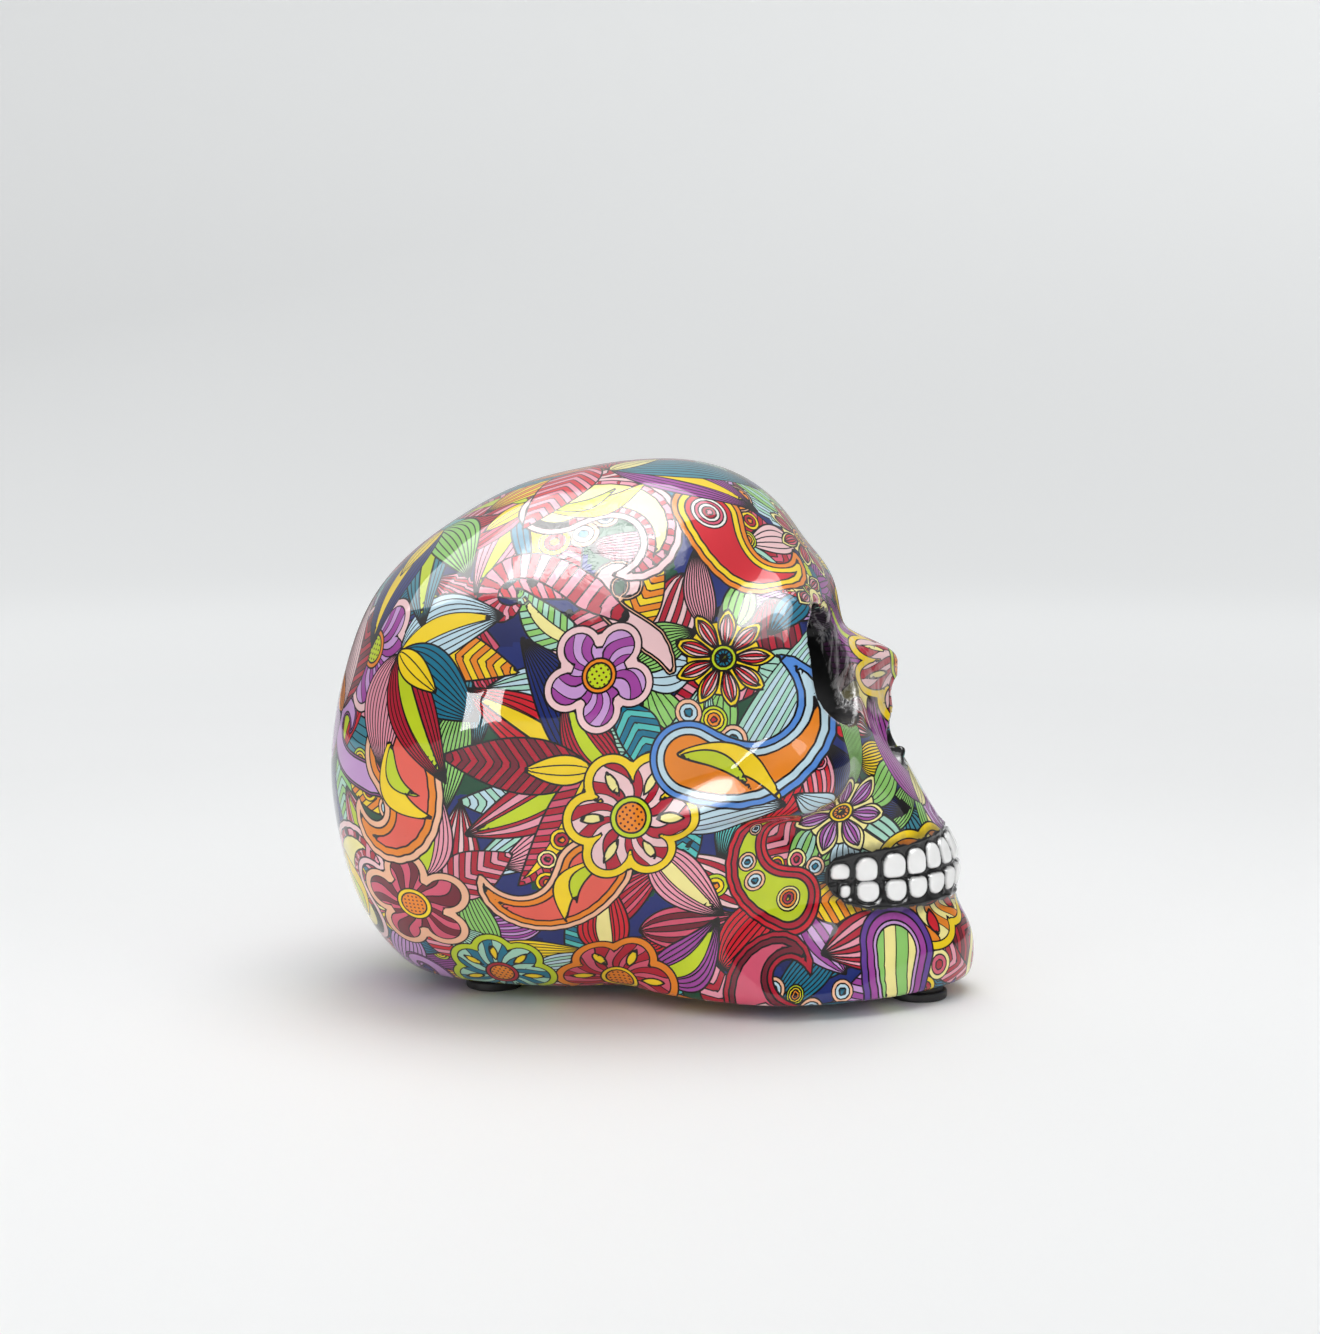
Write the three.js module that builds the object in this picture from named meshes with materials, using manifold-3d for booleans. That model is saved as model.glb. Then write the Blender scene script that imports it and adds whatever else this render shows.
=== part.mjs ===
// Hollow cast-resin skull with a flush base closing disc and four stick-on rubber feet.
// Millimetres, +Z up, face towards +X, the skull's left side towards +Y, symmetric about Y = 0.
// Origin: centre of the bounding box's underside, which is the plane the feet stand on.
import * as THREE from 'three';
import { mergeVertices } from 'three/addons/utils/BufferGeometryUtils.js';
import Module from 'manifold-3d';

const wasm = await Module();
wasm.setup();

// ---------------------------------------------------------------- driving dimensions
const BASE_Z = 3.8;            // underside flat of the casting above the table
const BASE_ROUND = 5;          // rounding between the underside flat and the walls
const WALL = 6.5;              // casting wall thickness
const SHIFT_X = -0.325;            // keeps the bounding box centred on the origin

const VAULT_CENTRE = [-22, 0, 84];
const VAULT_HALF_WIDTH = 66.5;
// vault radius in the mid-plane, every 15 degrees from straight ahead, turning upwards
const VAULT_RADII = [76, 80.7, 81.9, 86.1, 83.9, 76.1, 70.5, 68.5, 66.4, 67.4, 69.5, 69.6,
  71.9, 76.9, 82.2, 91.4, 96.2, 93.4, 91.8, 89, 81, 74, 70, 72];

// face profile at the mid-plane, half-width and squareness, every 6 mm of height from Z = 0
const FACE_AXIS_X = 40;
const FACE_FRONT = [94.6, 96.4, 96.7, 95.7, 92.8, 91, 92.3, 92, 89, 85, 81.2, 77.8, 73.6, 69.2, 66, 64, 62, 59, 54.6, 51.4, 49.6, 48, 46];
const FACE_HALF = [47, 46.5, 44.8, 41.5, 37, 32.2, 29.5, 29, 30.5, 33, 37, 41, 45, 49, 51.5, 52, 52, 52, 51, 47, 41, 35, 32];
const FACE_SQUARE = [1.55, 1.58, 1.62, 1.72, 1.9, 2.15, 2.3, 2.3, 2.3, 2.3, 2.4, 2.4, 2.4, 2.4, 2.6, 2.8, 3, 3.3, 3.6, 3.3, 2.6, 2.4, 2.3];
const FACE_STEP = 6;
const FACE_TOP = 126;

// nose: profile at the mid-plane and half-width, every 6 mm of height from Z = 66
const NOSE_AXIS_X = 50;
const NOSE_FRONT = [71, 74.2, 76.4, 75.2, 74.2, 73, 74.6, 57, 48];
const NOSE_HALF = [20, 19.5, 18.5, 17.5, 16.5, 15, 13.5, 12, 12];
const NOSE_BASE = 66, NOSE_TOP = 111, NOSE_SQUARE = 1.75;

const ORBIT = { c: [58, 31.2, 101.2], r: [30, 16.5, 16.7], turn: [20, 0, 12], e: 2.35 };
const NOSE_LOW = { c: [72, 4.5, 75.8], r: [11, 4.2, 7.4], turn: [0, 0, 0], e: 2 };
const NOSE_HIGH = { c: [72, 0, 84], r: [12, 6.2, 9.4], turn: [0, -4, 0], e: 2 };

const HOLE_R = 12;             // pour and drain hole in the underside
const DISC_R = 14, DISC_T = 2; // closing disc
const HOLE_X = -14;
const GAP = 0.3;               // clearance between touching pieces

const FOOT_R = 8.5, FOOT_H = 2.5;
const PAD_R = 7.2, PAD_T = 0.7; // adhesive disc between foot and casting
const REAR_FOOT = [-46, 14];
const FRONT_FOOT = [81, 9.5];

// ---------------------------------------------------------------- shape functions
const D = Math.PI / 180;
function turnMatrix([yaw, pitch, roll]) {
  const m = new THREE.Matrix4().makeRotationZ(yaw * D);
  m.multiply(new THREE.Matrix4().makeRotationY(pitch * D));
  m.multiply(new THREE.Matrix4().makeRotationX(roll * D));
  return m;
}
function local(p, c, inv) {
  const v = new THREE.Vector3(p[0] - c[0], p[1] - c[1], p[2] - c[2]);
  return inv ? v.applyMatrix4(inv) : v;
}
function smin(a, b, k) {
  const h = Math.max(k - Math.abs(a - b), 0) / k;
  return Math.min(a, b) - h * h * h * k / 6;
}
const smax = (a, b, k) => -smin(-a, -b, k);

// uniform cubic B-spline weights
function blend4(p0, p1, p2, p3, f) {
  return ((1 - f) ** 3 * p0 + (3 * f ** 3 - 6 * f * f + 4) * p1 + (-3 * f ** 3 + 3 * f * f + 3 * f + 1) * p2 + f ** 3 * p3) / 6;
}
function table(T, u) {
  const n = T.length;
  u = Math.min(Math.max(u, 0), n - 1.0001);
  const i = Math.floor(u), g = (k) => T[Math.min(Math.max(i + k, 0), n - 1)];
  return blend4(g(-1), g(0), g(1), g(2), u - i);
}

function ellipsoid(c, r, turn = [0, 0, 0]) {
  const inv = turn.some((a) => a) ? turnMatrix(turn).invert() : null;
  return (p) => {
    const q = local(p, c, inv);
    const k0 = Math.hypot(q.x / r[0], q.y / r[1], q.z / r[2]);
    const k1 = Math.hypot(q.x / r[0] ** 2, q.y / r[1] ** 2, q.z / r[2] ** 2) + 1e-9;
    return k0 * (k0 - 1) / k1;
  };
}
function squareEllipsoid({ c, r, turn, e }) {
  const inv = turnMatrix(turn).invert();
  return (p) => {
    const q = local(p, c, inv);
    const k = Math.sqrt((q.x / r[0]) ** 2 + (Math.abs(q.y / r[1]) ** e + Math.abs(q.z / r[2]) ** e) ** (2 / e)) + 1e-9;
    return q.length() * (1 - 1 / k);
  };
}
function roundCone(a, b, ra, rb) {
  const d = [b[0] - a[0], b[1] - a[1], b[2] - a[2]];
  const dd = d[0] * d[0] + d[1] * d[1] + d[2] * d[2];
  return (p) => {
    const t = Math.min(Math.max(((p[0] - a[0]) * d[0] + (p[1] - a[1]) * d[1] + (p[2] - a[2]) * d[2]) / dd, 0), 1);
    return Math.hypot(p[0] - a[0] - t * d[0], p[1] - a[1] - t * d[1], p[2] - a[2] - t * d[2]) - (ra + (rb - ra) * t);
  };
}
function vault(p) {
  const [cx, , cz] = VAULT_CENTRE, R = VAULT_RADII, n = R.length;
  const x = p[0] - cx, z = p[2] - cz;
  const t = Math.min(Math.max((p[0] + 35) / 95, 0), 1.2);   // narrows towards the forehead
  const u = Math.min(Math.max((62 - p[2]) / 70, 0), 1);     // and towards the base
  const y = p[1] / ((1 - 0.27 * t * t) * (1 - 0.20 * u * u));
  const ph = Math.atan2(z, x) / (2 * Math.PI) * n;
  const i = Math.floor(ph), g = (k) => R[(((i + k) % n) + n) % n];
  const r = blend4(g(-1), g(0), g(1), g(2), ph - i);
  const rho = Math.hypot(x, z) / r;
  const k = (rho ** 2.25 + Math.abs(y / VAULT_HALF_WIDTH) ** 2.25) ** (1 / 2.25) + 1e-9;
  return Math.hypot(x, y, z) * (1 - 1 / k);
}
function face(p) {
  const x = p[0] - FACE_AXIS_X, y = Math.abs(p[1]), u = p[2] / FACE_STEP;
  const A = table(FACE_FRONT, u) - FACE_AXIS_X, W = table(FACE_HALF, u), n = table(FACE_SQUARE, u);
  const t = Math.max(x, 0) / A, s = y / W;
  const k = (t ** n + s ** n) ** (1 / n) + 1e-9;
  let d = Math.hypot(Math.max(x, 0), y) * (1 - 1 / k);
  d = smax(d, -(p[0] - 5), 6);
  d = smax(d, (y - 36 - 0.5 * (p[0] - 7) - 0.7 * Math.max(p[2] - 26, 0)) * 0.894, 12);   // jaw narrows to the back
  return smax(d, p[2] - FACE_TOP, 14);
}
function nose(p) {
  const x = Math.max(p[0] - NOSE_AXIS_X, 0), y = Math.abs(p[1]), u = (p[2] - NOSE_BASE) / 6;
  const a = table(NOSE_FRONT, u) - NOSE_AXIS_X, w = table(NOSE_HALF, u), n = NOSE_SQUARE;
  const k = ((x / Math.max(a, 0.5)) ** n + (y / w) ** n) ** (1 / n) + 1e-9;
  let d = Math.hypot(x, y) * (1 - 1 / k);
  d = smax(d, -(p[0] - NOSE_AXIS_X + 4), 3);
  return smax(smax(d, p[2] - NOSE_TOP, 4), NOSE_BASE + 2 - p[2], 4);
}

// masses that blend into each other, each with its blend radius
const MASSES = [
  [vault, 1],
  [face, 16],
  [ellipsoid([14, 0, 42], [40, 48, 44]), 14],                 // ramus and cheek mass
  [roundCone([24, 34, 50], [54, 19, 42], 13.5, 11), 16],      // cheek
  [nose, 5],
  [roundCone([68, 0, 71], [73.5, 0, 72.2], 3, 2.5), 4],        // spine under the nasal opening
  [roundCone([44.4, 8, 118.2], [45, 38, 115.5], 6, 5.8), 16], // brow
  [ellipsoid([46, 41, 73], [16, 14, 13.5], [14, 0, 0]), 12],  // cheekbone
  [roundCone([38, 47, 66], [8, 52.5, 57.5], 5.8, 5.8), 14],   // zygomatic arch
  [roundCone([8, 24, 18], [34, 28, 18], 14, 14), 16],         // back of the jaw
  [ellipsoid([82, 0, 15], [13.5, 19, 13.5]), 8],              // chin
];
const temple = ellipsoid([30, 69.5, 97], [22, 12, 24], [-12, 0, 0]);
const orbit = squareEllipsoid(ORBIT);
const noseLow = squareEllipsoid(NOSE_LOW);
const noseHigh = squareEllipsoid(NOSE_HIGH);

function body(p0) {
  const p = [p0[0], Math.sqrt(p0[1] * p0[1] + 0.04), p0[2]];
  let d = null;
  for (const [f, k] of MASSES) d = d === null ? f(p) : smin(d, f(p), k);
  d = smax(d, -temple(p), 18);
  return smax(d, BASE_Z - p[2], BASE_ROUND);
}
function openBody(p0) {
  const p = [p0[0], Math.sqrt(p0[1] * p0[1] + 0.04), p0[2]];
  let d = body(p0);
  d = smax(d, -orbit(p), 3.5);
  d = smax(d, -noseLow(p), 2);
  return smax(d, -noseHigh(p), 2);
}

// ---------------------------------------------------------------- meshes and solids
function clean(geometry) {
  const g = geometry.clone();
  for (const name of Object.keys(g.attributes)) if (name !== 'position') g.deleteAttribute(name);
  const m = mergeVertices(g, 1e-4);
  const src = m.index.array, out = [];
  for (let i = 0; i < src.length; i += 3) {
    const [a, b, c] = [src[i], src[i + 1], src[i + 2]];
    if (a !== b && b !== c && c !== a) out.push(a, b, c);
  }
  m.setIndex(out);
  return m;
}
function toSolid(geometry) {
  const m = clean(geometry);
  return new wasm.Manifold(new wasm.Mesh({
    numProp: 3,
    vertProperties: new Float32Array(m.attributes.position.array),
    triVerts: new Uint32Array(m.index.array),
  }));
}
function toGeometry(solid) {
  const m = solid.getMesh();
  const n = m.vertProperties.length / m.numProp, pos = new Float32Array(n * 3);
  for (let i = 0; i < n; i++) for (let k = 0; k < 3; k++) pos[3 * i + k] = m.vertProperties[i * m.numProp + k];
  const g = new THREE.BufferGeometry();
  g.setAttribute('position', new THREE.BufferAttribute(pos, 3));
  g.setIndex(new THREE.BufferAttribute(new Uint32Array(m.triVerts), 1));
  g.computeVertexNormals();
  return g;
}
// closed skin whose vertices lie where f = level, seen from a centre inside it
function radialSkin(centre, detail, f, level, outermost) {
  const g = clean(new THREE.IcosahedronGeometry(1, detail));
  const P = g.attributes.position;
  const at = (d, r) => f([centre[0] + d.x * r, centre[1] + d.y * r, centre[2] + d.z * r]) - level;
  for (let i = 0; i < P.count; i++) {
    const d = new THREE.Vector3().fromBufferAttribute(P, i).normalize();
    let a, b;
    if (outermost) {
      a = 150;
      while (a > 4 && at(d, a) > 0) a -= 1.5;
      b = a + 1.5;
    } else {
      b = 4;
      while (b < 150 && at(d, b) < 0) b += 1;
      a = b - 1;
    }
    for (let j = 0; j < 22; j++) {
      const m = (a + b) / 2;
      if (at(d, m) < 0) a = m; else b = m;
    }
    const r = (a + b) / 2;
    P.setXYZ(i, centre[0] + d.x * r, centre[1] + d.y * r, centre[2] + d.z * r);
  }
  return g;
}
// moves the vertices next to the lower edge onto it, so that the edge runs in one clean line
function alignEdge(g, centre, detail, f, edgeZ) {
  const P = g.attributes.position, band = 0.6 * 63.4 / (detail + 1) * D;
  const hit = (azimuth, elevation) => {
    const c = Math.cos(elevation), d = [c * Math.cos(azimuth), c * Math.sin(azimuth), Math.sin(elevation)];
    const at = (r) => f([centre[0] + d[0] * r, centre[1] + d[1] * r, centre[2] + d[2] * r]);
    let a = 150;
    while (a > 4 && at(a) > 0) a -= 1.5;
    let b = a + 1.5;
    for (let j = 0; j < 22; j++) {
      const m = (a + b) / 2;
      if (at(m) < 0) a = m; else b = m;
    }
    return d.map((k, i) => centre[i] + k * (a + b) / 2);
  };
  for (let i = 0; i < P.count; i++) {
    if (P.getZ(i) > edgeZ + 16) continue;
    const x = P.getX(i) - centre[0], y = P.getY(i) - centre[1], z = P.getZ(i) - centre[2];
    const azimuth = Math.atan2(y, x), elevation = Math.atan2(z, Math.hypot(x, y));
    if (hit(azimuth, elevation - band)[2] > edgeZ || hit(azimuth, elevation + band)[2] < edgeZ) continue;
    let a = elevation - band, b = elevation + band;
    for (let j = 0; j < 16; j++) {
      const m = (a + b) / 2;
      if (hit(azimuth, m)[2] < edgeZ) a = m; else b = m;
    }
    P.setXYZ(i, ...hit(azimuth, (a + b) / 2));
  }
  return g;
}
function squareEllipsoidSkin({ c, r, turn, e }, side) {
  const g = clean(new THREE.SphereGeometry(1, 26, 15));
  const P = g.attributes.position, m = turnMatrix(turn);
  for (let i = 0; i < P.count; i++) {
    const v = new THREE.Vector3().fromBufferAttribute(P, i).normalize();
    const k = Math.sqrt(v.x ** 2 + (Math.abs(v.y) ** e + Math.abs(v.z) ** e) ** (2 / e));
    v.divideScalar(k).multiply(new THREE.Vector3(...r)).applyMatrix4(m);
    P.setXYZ(i, v.x + c[0], (v.y + c[1]) * side, v.z + c[2]);
  }
  if (side < 0) {
    const I = g.index.array;
    for (let i = 0; i < I.length; i += 3) [I[i], I[i + 1]] = [I[i + 1], I[i]];
  }
  return g;
}
function upright(radius, height, x, y, z0, sides = 40) {
  return new THREE.CylinderGeometry(radius, radius, height, sides).rotateX(Math.PI / 2).translate(x, y, z0 + height / 2);
}

// ---------------------------------------------------------------- casting
const SKIN_CENTRE = [8, 0, 72], SKIN_DETAIL = 19;
const skin = radialSkin(SKIN_CENTRE, SKIN_DETAIL, body, 0, true);
const outer = toSolid(alignEdge(skin, SKIN_CENTRE, SKIN_DETAIL, body, BASE_Z + BASE_ROUND / 6));
let cut = toSolid(squareEllipsoidSkin(ORBIT, 1)).add(toSolid(squareEllipsoidSkin(ORBIT, -1)));
cut = cut.add(toSolid(squareEllipsoidSkin(NOSE_LOW, 1))).add(toSolid(squareEllipsoidSkin(NOSE_LOW, -1)));
cut = cut.add(toSolid(squareEllipsoidSkin(NOSE_HIGH, 1)));
const cavity = toSolid(radialSkin([-20, 0, 78], 6, openBody, -WALL, false));
cut = cut.add(cavity);
cut = cut.add(toSolid(upright(HOLE_R, WALL + 12, HOLE_X, 0, BASE_Z - 3)));
cut = cut.add(toSolid(upright(DISC_R + GAP, DISC_T + GAP + 3.2, HOLE_X, 0, BASE_Z - 3)));
const casting = toGeometry(outer.subtract(cut));

// ---------------------------------------------------------------- assembly
const group = new THREE.Group();
function piece(name, geometry, color, roughness, metalness = 0) {
  const mesh = new THREE.Mesh(geometry, new THREE.MeshStandardMaterial({ color, roughness, metalness }));
  mesh.name = name;
  group.add(mesh);
  return mesh;
}
piece('skull_casting', casting.translate(SHIFT_X, 0, 0), 0xb4304a, 0.12);

const disc = clean(new THREE.CylinderGeometry(DISC_R, DISC_R, DISC_T, 40).rotateX(Math.PI / 2));
piece('base_closing_disc', disc, 0x1c1c1c, 0.6).position.set(HOLE_X + SHIFT_X, 0, BASE_Z + 0.2 + DISC_T / 2);

// foot: flat sole with a rounded edge, slightly wider at the glued side
const footProfile = [[0, 0], [FOOT_R - 1.5, 0], [FOOT_R - 0.95, 0.15], [FOOT_R - 0.6, 0.6], [FOOT_R, FOOT_H], [0, FOOT_H]]
  .map(([x, y]) => new THREE.Vector2(x, y));
function foot(name, x, y) {
  const g = clean(new THREE.LatheGeometry(footProfile, 28).rotateX(Math.PI / 2));
  piece(name, g, 0x111111, 0.75).position.set(x + SHIFT_X, y, 0);
  const pad = clean(new THREE.CylinderGeometry(PAD_R, PAD_R, PAD_T, 28).rotateX(Math.PI / 2));
  piece(name + '_adhesive', pad, 0x2a2a2a, 0.85).position.set(x + SHIFT_X, y, FOOT_H + GAP + PAD_T / 2);
}
foot('foot_rear_left', REAR_FOOT[0], REAR_FOOT[1]);
foot('foot_rear_right', REAR_FOOT[0], -REAR_FOOT[1]);
foot('foot_front_left', FRONT_FOOT[0], FRONT_FOOT[1]);
foot('foot_front_right', FRONT_FOOT[0], -FRONT_FOOT[1]);

export default group;
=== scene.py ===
"""Resin skull ornament: printed, lacquered casting with painted sockets and teeth, closing disc and stick-on feet."""
import math

import bpy
import numpy as np
from mathutils import Matrix, Vector


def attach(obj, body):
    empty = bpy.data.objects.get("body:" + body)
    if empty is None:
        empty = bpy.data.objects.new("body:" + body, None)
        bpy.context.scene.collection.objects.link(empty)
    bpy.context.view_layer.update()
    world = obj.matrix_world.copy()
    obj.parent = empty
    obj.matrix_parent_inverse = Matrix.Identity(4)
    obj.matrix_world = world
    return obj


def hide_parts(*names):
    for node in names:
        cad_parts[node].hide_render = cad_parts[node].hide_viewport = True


PI = math.pi
MM = 0.001
SHIFT_X = -0.325      # the model's middle line against the numbers below, mm
INSET = 0.28          # the skin lies this far inside the solid, mm
STEP = 1.38           # spacing of the skin's mesh, mm
FLOOR_Z = 3.8         # flat underside
SEED = 23


# ------------------------------------------------------------------ shape, in millimetres
def turn(yaw, pitch, roll):
    cy, sy = math.cos(math.radians(yaw)), math.sin(math.radians(yaw))
    cp, sp = math.cos(math.radians(pitch)), math.sin(math.radians(pitch))
    cr, sr = math.cos(math.radians(roll)), math.sin(math.radians(roll))
    rz = np.array([[cy, -sy, 0], [sy, cy, 0], [0, 0, 1]])
    ry = np.array([[cp, 0, sp], [0, 1, 0], [-sp, 0, cp]])
    rx = np.array([[1, 0, 0], [0, cr, -sr], [0, sr, cr]])
    return rz @ ry @ rx


def ell(p, c, r, a=(0, 0, 0)):
    q = p - np.asarray(c, float)
    if any(a):
        q = q @ turn(*a)
    r = np.asarray(r, float)
    k0 = np.sqrt(((q / r) ** 2).sum(1))
    k1 = np.sqrt(((q / (r * r)) ** 2).sum(1)) + 1e-9
    return k0 * (k0 - 1) / k1


def cone(p, a, b, ra, rb):
    a, b = np.asarray(a, float), np.asarray(b, float)
    d = b - a
    t = np.clip(((p - a) @ d) / (d @ d), 0, 1)
    return np.linalg.norm(p - (a + t[:, None] * d), axis=1) - (ra + (rb - ra) * t)


def sell(p, c, r, a, e):
    q = p - np.asarray(c, float)
    if any(a):
        q = q @ turn(*a)
    k = np.sqrt((q[:, 0] / r[0]) ** 2 + (np.abs(q[:, 1] / r[1]) ** e + np.abs(q[:, 2] / r[2]) ** e) ** (2 / e)) + 1e-9
    return np.linalg.norm(q, axis=1) * (1 - 1 / k)


def smin(a, b, k):
    h = np.maximum(k - np.abs(a - b), 0) / k
    return np.minimum(a, b) - h * h * h * k / 6


def smax(a, b, k):
    return -smin(-a, -b, k)


def spline(f, p0, p1, p2, p3):
    return ((1 - f) ** 3 * p0 + (3 * f**3 - 6 * f * f + 4) * p1 + (-3 * f**3 + 3 * f * f + 3 * f + 1) * p2 + f**3 * p3) / 6


VAULT_C = np.array([-22.0, 0.0, 84.0])
VAULT_W = 66.5
VAULT_R = np.array([76, 80.7, 81.9, 86.1, 83.9, 76.1, 70.5, 68.5, 66.4, 67.4, 69.5, 69.6, 71.9, 76.9, 82.2, 91.4, 96.2, 93.4, 91.8, 89, 81, 74, 70, 72])


def vault(p):
    q = p - VAULT_C
    x, y, z = q[:, 0], q[:, 1], q[:, 2]
    t = np.clip((p[:, 0] + 35) / 95, 0, 1.2)
    u = np.clip((62 - p[:, 2]) / 70, 0, 1)
    y = y / ((1 - 0.27 * t * t) * (1 - 0.20 * u * u))
    n = len(VAULT_R)
    ph = np.arctan2(z, x) / (2 * PI) * n
    i = np.floor(ph).astype(int)
    r = spline(ph - i, *(VAULT_R[(i + k) % n] for k in (-1, 0, 1, 2)))
    rho = np.sqrt(x * x + z * z) / r
    k = (rho**2.25 + np.abs(y / VAULT_W) ** 2.25) ** (1 / 2.25) + 1e-9
    return np.linalg.norm(q, axis=1) * (1 - 1 / k)


FACE_X = 40.0
FRONT = [94.6, 96.4, 96.7, 95.7, 92.8, 91.0, 92.3, 92.0, 89.0, 85.0, 81.2, 77.8, 73.6, 69.2, 66, 64, 62, 59, 54.6, 51.4, 49.6, 48, 46]
HALF = [47, 46.5, 44.8, 41.5, 37, 32.2, 29.5, 29, 30.5, 33, 37, 41, 45, 49, 51.5, 52, 52, 52, 51, 47, 41, 35, 32]
SQUARE = [1.55, 1.58, 1.62, 1.72, 1.9, 2.15] + [2.3] * 4 + [2.4] * 4 + [2.6, 2.8, 3.0, 3.3, 3.6, 3.3, 2.6, 2.4, 2.3]
NOSE_X = 50.0
NOSE_FRONT = [71, 74.2, 76.4, 75.2, 74.2, 73.0, 74.6, 57.0, 48]
NOSE_HALF = [20, 19.5, 18.5, 17.5, 16.5, 15, 13.5, 12, 12]


def profile(table, u):
    t = np.asarray(table, float)
    n = len(t)
    u = np.clip(u, 0, n - 1.0001)
    i = np.floor(u).astype(int)
    return spline(u - i, *(t[np.clip(i + k, 0, n - 1)] for k in (-1, 0, 1, 2)))


def loft(p):
    x, y, z = p[:, 0] - FACE_X, np.abs(p[:, 1]), p[:, 2]
    u = z / 6
    a, w, n = profile(FRONT, u) - FACE_X, profile(HALF, u), profile(SQUARE, u)
    t, s = np.maximum(x, 0) / a, y / w
    k = (t**n + s**n) ** (1 / n) + 1e-9
    d = np.hypot(np.maximum(x, 0), y) * (1 - 1 / k)
    d = smax(d, -(p[:, 0] - 5), 6)
    d = smax(d, (y - 36.0 - 0.5 * (p[:, 0] - 7) - 0.7 * np.maximum(z - 26, 0)) * 0.894, 12)
    return smax(d, z - 126, 14)


def nose(p):
    x, y, z = p[:, 0] - NOSE_X, np.abs(p[:, 1]), p[:, 2]
    u = (z - 66) / 6
    a, w = profile(NOSE_FRONT, u) - NOSE_X, profile(NOSE_HALF, u)
    k = ((np.maximum(x, 0) / np.maximum(a, 0.5)) ** 1.75 + (y / w) ** 1.75) ** (1 / 1.75) + 1e-9
    d = np.hypot(np.maximum(x, 0), y) * (1 - 1 / k)
    d = smax(d, -(p[:, 0] - 46), 3)
    return smax(smax(d, z - 111, 4), 68 - z, 4)


ORBIT = ((58, 31.2, 101.2), (30, 16.5, 16.7), (20, 0, 12), 2.35)
NASAL_LOW = ((72, 4.5, 75.8), (11, 4.2, 7.4), (0, 0, 0))
NASAL_HIGH = ((72, 0, 84), (12, 6.2, 9.4), (0, -4, 0))
MASSES = [
    (1, vault, (), 1),
    (1, loft, (), 16),
    (1, ell, ((14, 0, 42), (40, 48, 44), (0, 0, 0)), 14),
    (1, cone, ((24, 34, 50), (54, 19, 42), 13.5, 11), 16),
    (1, nose, (), 5),
    (1, cone, ((68, 0, 71), (73.5, 0, 72.2), 3, 2.5), 4),
    (1, cone, ((44.4, 8, 118.2), (45.0, 38, 115.5), 6, 5.8), 16),
    (1, ell, ((46, 41, 73), (16, 14, 13.5), (14, 0, 0)), 12),
    (1, cone, ((38, 47, 66), (8, 52.5, 57.5), 5.8, 5.8), 14),
    (1, cone, ((8, 24, 18), (34, 28, 18), 14, 14), 16),
    (1, ell, ((82, 0, 15), (13.5, 19, 13.5), (0, 0, 0)), 8),
    (-1, ell, ((30, 69.5, 97), (22, 12, 24), (-12, 0, 0)), 18),
    (-1, sell, ORBIT, 3.5),
    (-1, ell, NASAL_LOW, 2.0),
    (-1, ell, NASAL_HIGH, 2.0),
]
DISC_X, DISC_R, DISC_TOP = -14.0, 14.22, 6.2


def recess(p):
    return np.maximum(np.hypot(p[:, 0] - DISC_X, p[:, 1]) - DISC_R, p[:, 2] - DISC_TOP)


def skin(p):
    """Below 0 inside the casting."""
    p = np.array(p, float)
    yy = p[:, 1].copy()
    p[:, 1] = np.sqrt(yy**2 + 0.04)
    d = None
    for sign, f, a, b in MASSES:
        v = f(p, *a)
        d = v if d is None else smin(d, v, b) if sign > 0 else smax(d, -v, b)
    d = smax(d, FLOOR_Z - p[:, 2], 5.0) + INSET
    return smax(d, -recess(p), 0.5)


# teeth: plan of the arch (x - 40, |y|), and one tooth a line: along the arch, height, half-width, half-height
ARCH = np.array([(51.2, 0), (50.9, 4), (49, 10), (47, 13.5), (44.5, 16.8), (39.8, 20.7), (33.6, 24.1), (26.3, 27.8), (19.1, 31), (12, 33.5)], float)
UPPER = [(4.3, 44.9, 3.45, 4.0), (11.4, 44.4, 2.65, 3.75), (17.4, 43.8, 2.75, 3.7), (23.8, 42.8, 3.2, 3.75), (31.0, 42.0, 3.55, 3.6), (39.7, 41.4, 3.4, 3.45), (47.9, 41.15, 2.9, 2.3)]
LOWER = [(3.7, 36.3, 2.9, 3.3), (10.1, 36.1, 2.75, 3.3), (16.6, 35.65, 3.05, 3.1), (23.4, 35.2, 3.05, 3.05), (30.5, 34.75, 3.2, 3.05), (39.2, 34.8, 3.35, 2.85), (46.2, 35.2, 1.55, 1.75)]
BITE = ([0, 9, 17.2, 23.5, 30.8, 39.4, 50], [39.9, 39.6, 39.15, 38.55, 38.05, 37.75, 37.8])
BAND_TOP = ([0, 2.6, 11.2, 19.8, 26.6, 34.5, 43.2, 50.2, 52.5], [50.4, 50.3, 50.3, 49.4, 48.4, 47.3, 46.6, 44.9, 42.0])
BAND_LOW = ([0, 8.2, 16, 23.6, 32.2, 39.7, 45.8, 49.8, 52.5], [30.6, 30.4, 30.3, 29.9, 29.8, 30.0, 31.7, 34.4, 38.2])


def arch_place(p):
    """Distance along the arch from the middle, mm, and off it, with the height above the bite line."""
    q = np.stack([p[:, 0] - FACE_X, np.abs(p[:, 1])], 1)
    best, t = np.full(len(p), 1e9), np.zeros(len(p))
    run = 0.0
    for i in range(len(ARCH) - 1):
        a, d = ARCH[i], ARCH[i + 1] - ARCH[i]
        n = np.linalg.norm(d)
        k = np.clip(((q - a) @ d) / n**2, 0, 9 if i == len(ARCH) - 2 else 1)
        e = np.linalg.norm(q - a - k[:, None] * d, axis=1)
        m = e < best
        best[m] = e[m]
        t[m] = run + k[m] * n
        run += n
    return t, best, p[:, 2] - np.interp(t, *BITE)


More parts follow.
